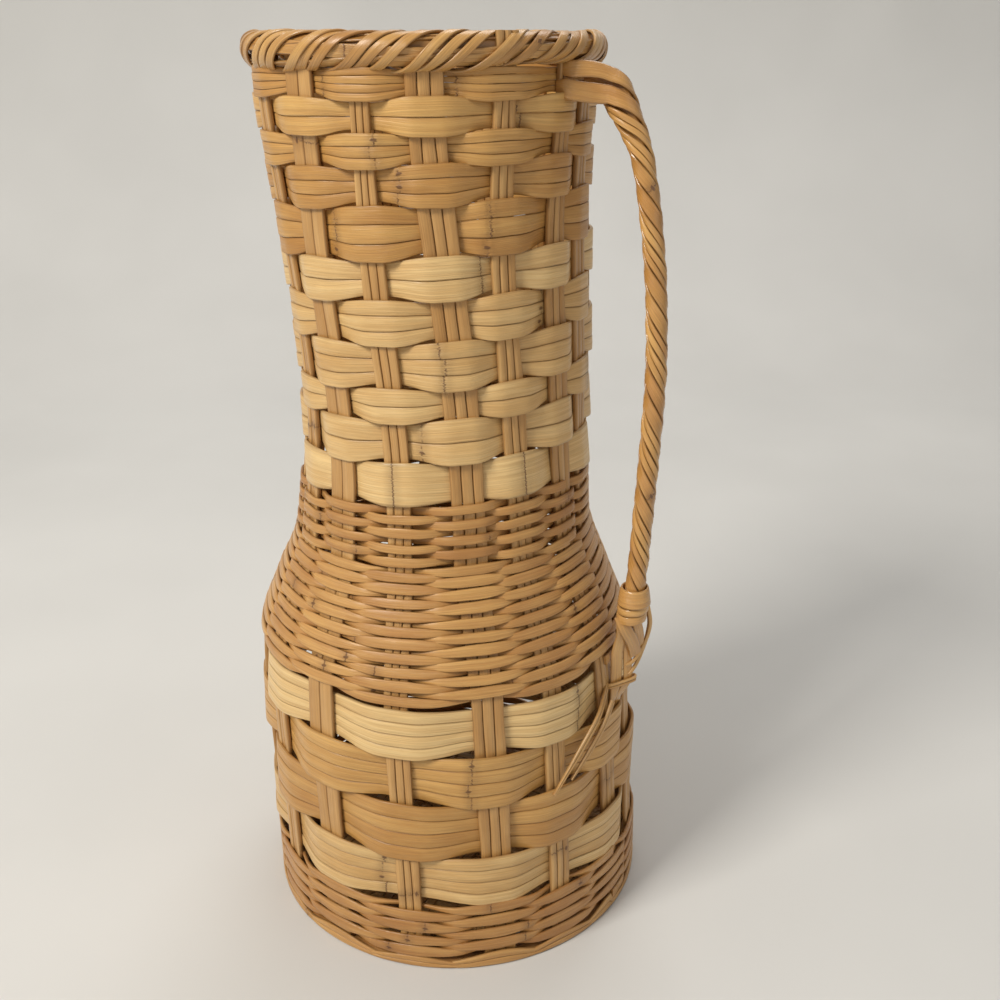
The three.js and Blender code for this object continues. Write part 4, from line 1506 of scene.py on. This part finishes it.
    def at_height(self, height: float) -> Vector:
        """Return the middle of the rope's lower half at a height."""
        point = self.line[self._number_at(height)].copy()
        point.z = height
        return point

    def axes(self, share: float) -> Faced:
        """Return two directions square to the rope at a share of its length: level, and up."""
        near = 0.004
        along = (self.at(share + near) - self.at(share - near)).normalized()
        across = (Vector((0, 1, 0)) - along * along.y).normalized()
        return across, along.cross(across)

    def spread(self, share: float) -> float:
        """Return how far the strands stand off the core at a share of the rope's length."""
        start, end = share * self.length, (1 - share) * self.length
        top = max(0.0, 1 - start / self.top_spread_length) * smooth(start / self.top_spread_lead)
        foot = max(0.0, 1 - end / self.foot_spread_length)
        return self.top_spread * top**1.4 + self.foot_spread * foot**2

    def strand(self, number: int) -> ReedPath:
        """Lay one strand of the rope. The first two begin as loops."""
        loop = self.loops[number] if number < len(self.loops) else None
        start = loop.lead / self.length if loop else 0.0
        turns = self.length / self.pitch
        controls = []
        for i in range(self.strand_steps + 1):
            share = mix(start, self.bound, i / self.strand_steps)
            angle = TURN * (self.first_turn + number / self.strands - turns * share)
            across, up = self.axes(share)
            out = across * math.cos(angle) + up * math.sin(angle)
            off = self.inner + self.spread(share) + self.strand_thickness / 2
            controls.append((self.at(share) + out * off, out))
        if loop:
            controls = self.loop(loop, self.loop_heights[number], controls) + controls
        shade = 0.35 + 0.12 * number
        path = through(controls, self.step, self.strand_width, self.strand_thickness, shade=shade)
        path.knots = [85.0 + 70 * number, 250.0 + 37 * number]
        if loop:
            for i, length in enumerate(lengths_along(path.points)):
                share = 1 - smooth(length / self.loop_reach - self.loop_hold)
                extra = (loop.width - self.strand_width) * share
                taper = mix(self.loop_tip, 1.0, smooth(length / self.loop_taper))
                path.widths[i] = taper * (self.strand_width + extra)
        return path

    def loop(self, loop: Loop, level: float, strand: list[Faced]) -> list[Faced]:
        """Lay a loop from the edge of its stake, in one sweep, into its strand.

        Args:
            loop: The loop.
            level: The height of its place.
            strand: The strand's points, each with the direction out of the reed's face.

        Returns:
            The loop's points in the same form.
        """
        wall = self.wall
        height = loop.rise + level
        angle = wall.stake_angle(self.stake, height)
        past = wall.width_of(self.stake) / 2 + wall.clearance + self.strand_thickness / 2 - loop.trim
        out = heading(angle)
        edge = wall.point(angle, height, 0.5, -past)
        join = strand[0][0]
        along = (strand[2][0] - join).normalized()
        sag = UP * loop.sag
        first = edge + out * self.loop_bulge - sag / 2
        last = join - along * self.loop_bulge - sag * 0.8
        laid = [(edge - out * self.loop_hook, Vector((out.y, -out.x, 0)))]
        for t in (0, 0.15, 0.3, 0.45, 0.6, 0.75, 0.9):
            point, slope = bezier((edge, first, last, join), t)
            face = Vector((slope.y, -slope.x, 0)).normalized() + UP * self.loop_tilt * smooth(t * 3)
            laid.append((point, face.lerp(strand[0][1], smooth(t * 1.4 - 0.4)).normalized()))
        return laid

    def core(self) -> ReedPath:
        """Lay the rope's core, which fills the room between the strands where they stand off."""
        count = 60
        shares = [self.bound * i / count for i in range(count + 1)]
        controls = [(self.at(share), self.axes(share)[0]) for share in shares]
        path = through(controls, 2 * self.step, 2 * self.core_radius, 2 * self.core_radius, shade=0.2)
        count = len(path.widths)
        for i in range(count):
            path.widths[i] += self.core_spread * self.spread(self.bound * i / count)
        return path

    def binding(self) -> list[ReedPath]:
        """Lay the turns of reed round the rope near its foot."""
        wraps = []
        for number, (rise, width, slope) in enumerate(self.wraps):
            lean = 0.0 if number else self.wrap_lean
            stations = []
            for out, angle in around(48):
                height = self.binding_middle + rise + slope * math.cos(angle - self.highest_angle)
                point = self.at_height(height) + out * (self.binding_radius - self.wrap_step * number)
                stations.append((point, (out + UP * lean).normalized(), width))
            wraps.append(laid_along(stations, self.wrap_thickness, closed=True, shade=0.62 - 0.1 * number))
        return wraps

    def foot_point(self, height: float, outward: float, sideways: float) -> Vector:
        """Find a point by the stake that the handle's foot lies on.

        Args:
            height: The height.
            outward: How far out along the wall's normal.
            sideways: How far along the wall from the foot's middle, anticlockwise.

        Returns:
            The point.
        """
        angle = self.wall.stake_angle(self.stake, height)
        across = self.wall.radius(height) * (self.foot_angle - angle)
        return self.wall.point(angle, height, outward, across + sideways)

    def facing(self, height: float) -> Vector:
        """Return the direction that the foot's flat reeds face at a height."""
        share = smooth((self.lashing_height - 2 - height) / (self.lashing_height - 2 - self.tuck_top))
        return heading(mix(self.foot_facing, self.wall.stake_angle(self.stake, self.tuck_top), share))

    def bundle(self, rise: float, aside: float, outward: float) -> Faced:
        """Find a point by the middle of the foot, where the rope gives way to its flat ends.

        Args:
            rise: The height over the belly's top.
            aside: How far to one side, anticlockwise.
            outward: How far out in the direction that the flat reeds face.

        Returns:
            The point and that direction.
        """
        height = self.wall.belly_top + rise
        share = smooth((self.binding_bottom - height) / (self.binding_bottom - self.lashing_height))
        face = self.facing(height)
        middle = self.at_height(height).lerp(self.foot_point(height, self.lashed_offset, 0), share)
        return middle + UP.cross(face) * aside + face * outward, face

    def flat(
        self,
        stations: Sequence[Triple],
        width: float,
        thickness: float,
        shade: float,
        step: float = 1.5,
    ) -> ReedPath:
        """Lay a reed of the foot through its stations."""
        return through([self.bundle(*station) for station in stations], step, width, thickness, shade=shade)

    def end(self, number: int) -> ReedPath:
        """Lay a flat end from under the binding down to the lashing, and in behind a belly band."""
        shade = 0.6 - 0.15 * number
        path = self.flat(self.ends[number], self.end_widths[number], self.end_thickness, shade)
        tucked = self.wall.stake_face + self.end_thickness / 2
        beside = (number - 0.5) * (self.end_width + self.wall.clearance)
        out = self.facing(self.tuck_top)
        controls = list(zip(path.points, path.outward))[::3]
        for down, off in ((-1.0, 0.3), (self.tuck_depth * 0.5, 0.0), (self.tuck_depth, 0.0)):
            controls.append((self.foot_point(self.tuck_top - down, tucked + off, beside), out))
        laid = through(controls, self.step, self.end_width, self.end_thickness, shade=shade)
        for i, point in enumerate(laid.points):
            share = smooth((point.z - self.tuck_top) / self.tuck_taper)
            laid.widths[i] = mix(self.end_width, self.end_widths[number], share)
        return laid

    def lashing(self) -> ReedPath:
        """Lay the turn of reed round the two flat ends."""
        half_width = self.end_width + 1.5 * self.wall.clearance + self.lashing_thickness + self.lashing_room
        half_depth = self.lashed_half_depth + self.lashing_thickness / 2
        middle, out = self.bundle(-self.lashing_drop, self.lashed_aside, 0)
        side = UP.cross(out)
        stations = []
        for _, angle in around(36):
            across, off = math.cos(angle), math.sin(angle)
            x, y = bowed(across, 0.5), bowed(off, 0.7)
            point = middle + side * (x * half_width) + out * (y * half_depth) + UP * (self.lashing_slant * x)
            stations.append((point, (side * across * 0.5 + out * off).normalized(), self.lashing_width))
        return laid_along(stations, self.lashing_thickness, closed=True, shade=0.55)

    def tail(self, stations: Sequence[Triple], start: Vector | None) -> ReedPath:
        """Lay one of the lashing's loose ends down the belly.

        Args:
            stations: The points that it passes through.
            start: Where it begins, if not at its first station.

        Returns:
            The path.
        """
        wall = self.wall
        face = wall.band_face + self.tail_thickness / 2
        places = []
        for degrees, drop, rise in stations:
            height = wall.belly_top - self.tail_drop * drop
            angle = math.radians(degrees)
            point = wall.point(angle, height, face + self.tail_rise * rise)
            places.append((point, wall.normal(angle, height)))
        if start is not None:
            places.insert(0, (start, places[0][1]))
        path = through(places, self.step, self.tail_width, self.tail_thickness, shade=0.55)
        count = len(path.points)
        for i in range(count):
            path.widths[i] *= 1 - self.tail_taper * smooth(i / count * 1.6 - 0.75)
        return path

    def build(self, shop: Workshop) -> None:
        """Build the rope, its binding, its flat ends and what ties them."""
        self.prepare(shop.wall)
        plain = ReedCut(reeds=1, gap=0.0, crown=0.5, wander=0.15, lift=0.2)
        split = ReedCut(reeds=2, gap=0.25, crown=0.5, wander=0.4, lift=0.3)
        rope = ReedCut(reeds=2, gap=0.15, crown=0.6, wander=0.3, lift=0.4)
        shop.lay("handle_core", [self.core()], plain, "rope")
        for number in range(self.strands):
            paths = [self.strand(number)]
            if number < len(self.crossings):
                width, shade = self.crossing_widths[number], 0.65 - 0.1 * number
                paths.append(self.flat(self.crossings[number], width, self.end_thickness, shade))
            cut = plain if number < len(self.loops) else rope
            shop.lay(f"handle_strand_{number + 1}", paths, cut, "rope")
        shop.lay("handle_binding", self.binding(), plain, "rope")
        for number in range(len(self.ends)):
            shop.lay(f"handle_end_{number + 1}", [self.end(number)], plain, "rope")
        shop.lay("handle_lashing", [self.lashing()], split, "tie")
        # The ties' high paleness, 0.75, is partly a painted highlight.
        ties = [self.flat(stations, self.tie_width, self.tie_thickness, 0.75, 1.0) for stations in self.ties]
        shop.lay("handle_tie", ties, plain, "tie")
        start, _ = self.bundle(-self.lashing_drop, self.tail_aside, 0)
        for number, (stations, first) in enumerate(((self.long_tail, start), (self.short_tail, None))):
            shop.lay(f"handle_tail_{number + 1}", [self.tail(stations, first)], split, "tie")


@dataclass(frozen=True)
class Lamp:
    """A soft lamp: its place and width in metres, its power in watts, and its colour."""

    name: str
    place: Triple
    size: float
    power: float
    colour: Colour


@dataclass
class Studio:
    """The pale floor and backdrop, the lamps and the camera. Only the camera's stand is in millimetres."""

    focal_length: float = 41.4
    pitch: float = 22.07
    yaw: float = 2.29
    stand: Triple = (2.2, -575.0, 457.0)
    view_turn: float = 30.0
    floor_front: float = -3.0
    floor_back: float = 0.9
    floor_reach: float = 4.0
    floor_tones: tuple[Colour, Colour] = ((0.62, 0.62, 0.61), (0.66, 0.66, 0.65))
    floor_roughness: float = 0.9
    bend_radius: float = 0.5
    bend_steps: int = 12
    backdrop_top: float = 3.0
    aim_height: float = 0.22
    daylight: Colour = (1.0, 0.96, 0.9)
    daylight_strength: float = 0.34
    lamps: tuple[Lamp, ...] = (
        Lamp("key lamp", (-1.3, -1.05, 1.7), 0.7, 41.0, (1.0, 0.95, 0.87)),
        Lamp("fill lamp", (1.5, -1.1, 0.9), 1.4, 3.0, (1.0, 0.96, 0.9)),
        Lamp("back lamp", (0.3, 1.0, 1.9), 1.0, 12.0, (1.0, 0.98, 0.95)),
    )

    def __post_init__(self) -> None:
        """Work out the turn from the camera's frame to the vase's."""
        self.turn = Matrix.Rotation(math.radians(self.view_turn), 3, "Z")

    def camera(self) -> None:
        """Place the camera at the photograph's angle."""
        data = bpy.data.cameras.new("camera")
        data.lens = self.focal_length
        data.sensor_width = 36.0
        data.clip_start = 0.01
        seat = bpy.data.objects.new("camera", data)
        place = Matrix.Translation(Vector(self.stand) * MM)
        yaw = Matrix.Rotation(math.radians(-self.yaw), 4, "Z")
        pitch = Matrix.Rotation(math.radians(90 - self.pitch), 4, "X")
        seat.matrix_world = self.turn.to_4x4() @ place @ (yaw @ pitch)
        bpy.context.scene.collection.objects.link(seat)
        bpy.context.scene.camera = seat

    def hang(self, lamp: Lamp) -> None:
        """Hang a lamp that faces the vase."""
        data = bpy.data.lights.new(lamp.name, "AREA")
        data.size = lamp.size
        data.energy = lamp.power
        data.color = lamp.colour
        hung = bpy.data.objects.new(lamp.name, data)
        hung.location = self.turn @ Vector(lamp.place)
        aim = UP * self.aim_height - self.turn @ Vector(lamp.place)
        hung.rotation_euler = aim.to_track_quat("-Z", "Y").to_euler()
        bpy.context.scene.collection.objects.link(hung)

    def pale(self) -> bpy.types.Material:
        """Make the floor's material."""
        made = bpy.data.materials.new("pale floor")
        made.use_nodes = True
        n = Nodes(made.node_tree)
        place = n.wire("ShaderNodeTexCoord", output="Object")
        noise = n.wire("ShaderNodeTexNoise", {"Vector": place, "Scale": 3.0, "Detail": 3.0})
        tint = n.blended(n.graded(noise, 0.3, 0.7), *((*tone, 1) for tone in self.floor_tones))
        surface = made.node_tree.nodes["Principled BSDF"]
        n.tree.links.new(tint.socket, surface.inputs["Base Color"])
        surface.inputs["Roughness"].default_value = self.floor_roughness
        return made

    def floor(self) -> None:
        """Lay the pale floor, and bend it up into a backdrop."""
        outline = [(self.floor_front, 0.0), (self.floor_back, 0.0)]
        for i in range(1, self.bend_steps + 1):
            angle = math.radians(90 * i / self.bend_steps)
            back = self.floor_back + self.bend_radius * math.sin(angle)
            outline.append((back, self.bend_radius * (1 - math.cos(angle))))
        outline.append((self.floor_back + self.bend_radius, self.backdrop_top))
        ends = (-self.floor_reach, self.floor_reach)
        points = [self.turn @ Vector((x, y, z)) for y, z in outline for x in ends]
        faces = [(i, i + 1, i + 3, i + 2) for i in range(0, len(points) - 2, 2)]
        mesh = bpy.data.meshes.new("floor")
        mesh.from_pydata(points, [], faces)
        mesh.polygons.foreach_set("use_smooth", [True] * len(faces))
        mesh.materials.append(self.pale())
        floor = bpy.data.objects.new("floor", mesh)
        bpy.context.scene.collection.objects.link(floor)

    def build(self) -> None:
        """Set up the whole studio."""
        scene = bpy.context.scene
        scene.view_settings.view_transform = "Standard"
        scene.world = bpy.data.worlds.new("studio")
        scene.world.use_nodes = True
        background = scene.world.node_tree.nodes["Background"].inputs
        background["Color"].default_value = (*self.daylight, 1)
        background["Strength"].default_value = self.daylight_strength
        self.camera()
        self.floor()
        for lamp in self.lamps:
            self.hang(lamp)


BASE_ROWS = RowLook(6.8, 2.2, 0.42, drop=2.6, **LONG_FLOATS)
SHOULDER_ROWS = RowLook(5.4, 2.0, 0.45, drop=0.6, blunt=1.18, **LONG_FLOATS)
COLLAR_ROWS = RowLook(4.8, 4.0, 0.5, drop=1.8)
NECK_LOOKS = (
    BandLook(1, "pale", 0.72, (-142, -80, -30, 96)),
    BandLook(2, "pale", 0.7, (-70, -128, 60)),
    BandLook(2, "pale", 0.62, (-100, 10, 150)),
    BandLook(3, "pale", 0.4, (-60, 80, 175)),
    BandLook(3, "pale", 0.6, (-20, 120, -160)),
    BandLook(2, "pale", 0.7, (-46, 70, 165)),
    BandLook(3, "golden", 0.36, (-96, -42, 100)),
    BandLook(3, "golden", 0.42, (-70, 40, 140)),
    BandLook(3, "golden", 0.6, (-76, 20, 130)),
    BandLook(2, "golden", 0.74, (-28, 90, 170)),
    # The top band's low paleness is partly painted shadow of the rim above it.
    BandLook(4, "golden", 0.36, (-50, -92, 110)),
)
BELLY_LOOKS = (
    BandLook(4, "pale", 0.5, (-82, 30, 150)),
    BandLook(4, "golden", 0.42, (-98, 60, 175)),
    BandLook(4, "golden", 0.6, (-55, 40, 130)),
    BandLook(4, "pale", 0.92, (-100, -20, 85)),
)


def finishes(effects: Effects) -> dict[str, bpy.types.Material]:
    """Make every finish's material, and return them by name."""
    kinds = (
        ReedFinish("stake", (0.74, 0.46, 0.18), (0.47, 0.24, 0.07)),
        ReedFinish("pale", (0.86, 0.61, 0.28), (0.60, 0.34, 0.11), variation=0.35),
        ReedFinish("golden", (0.76, 0.46, 0.15), (0.48, 0.23, 0.055), variation=0.45),
        ReedFinish("weaver", (0.74, 0.43, 0.14), (0.42, 0.18, 0.045), fineness=1.3),
        ReedFinish("rim", (0.76, 0.46, 0.16), (0.42, 0.19, 0.045), roughness=0.34, coat=0.4),
        ReedFinish(
            "rope", (0.80, 0.48, 0.16), (0.48, 0.22, 0.055), roughness=0.3, coat=0.7, coat_roughness=0.15
        ),
        ReedFinish("tie", (0.78, 0.48, 0.18), (0.48, 0.23, 0.06), roughness=0.4),
    )
    return {kind.name: kind.material(effects) for kind in kinds}


def main() -> None:
    """Build the vase and its studio."""
    logging.basicConfig(level=logging.INFO, format="%(message)s")
    Studio().build()
    wall = Wall()
    shop = Workshop(wall, ReedMaker(), finishes(Effects()))
    Bottom().build(shop)
    Stakes().build(shop)
    base, shoulder, collar = (FineWeaving(look) for look in (BASE_ROWS, SHOULDER_ROWS, COLLAR_ROWS))
    base.build(shop, "base_weaver", wall.base_bottom, wall.base_rows, wall.base_row)
    Bands().build(shop, "belly_band_{}", wall.belly_bottom, wall.belly_bands, Course.EVEN, BELLY_LOOKS)
    shoulder.build(shop, "shoulder_weaver", wall.belly_top, wall.shoulder_rows, wall.shoulder_row)
    collar.build(shop, "collar_weaver", wall.shoulder_top, wall.collar_rows, wall.collar_row)
    Bands().build(shop, "neck_band_{:02d}", wall.collar_top, wall.neck_bands, Course.ODD, NECK_LOOKS)
    Rim().build(shop)
    Handle().build(shop)


if __name__ == "__main__":
    main()
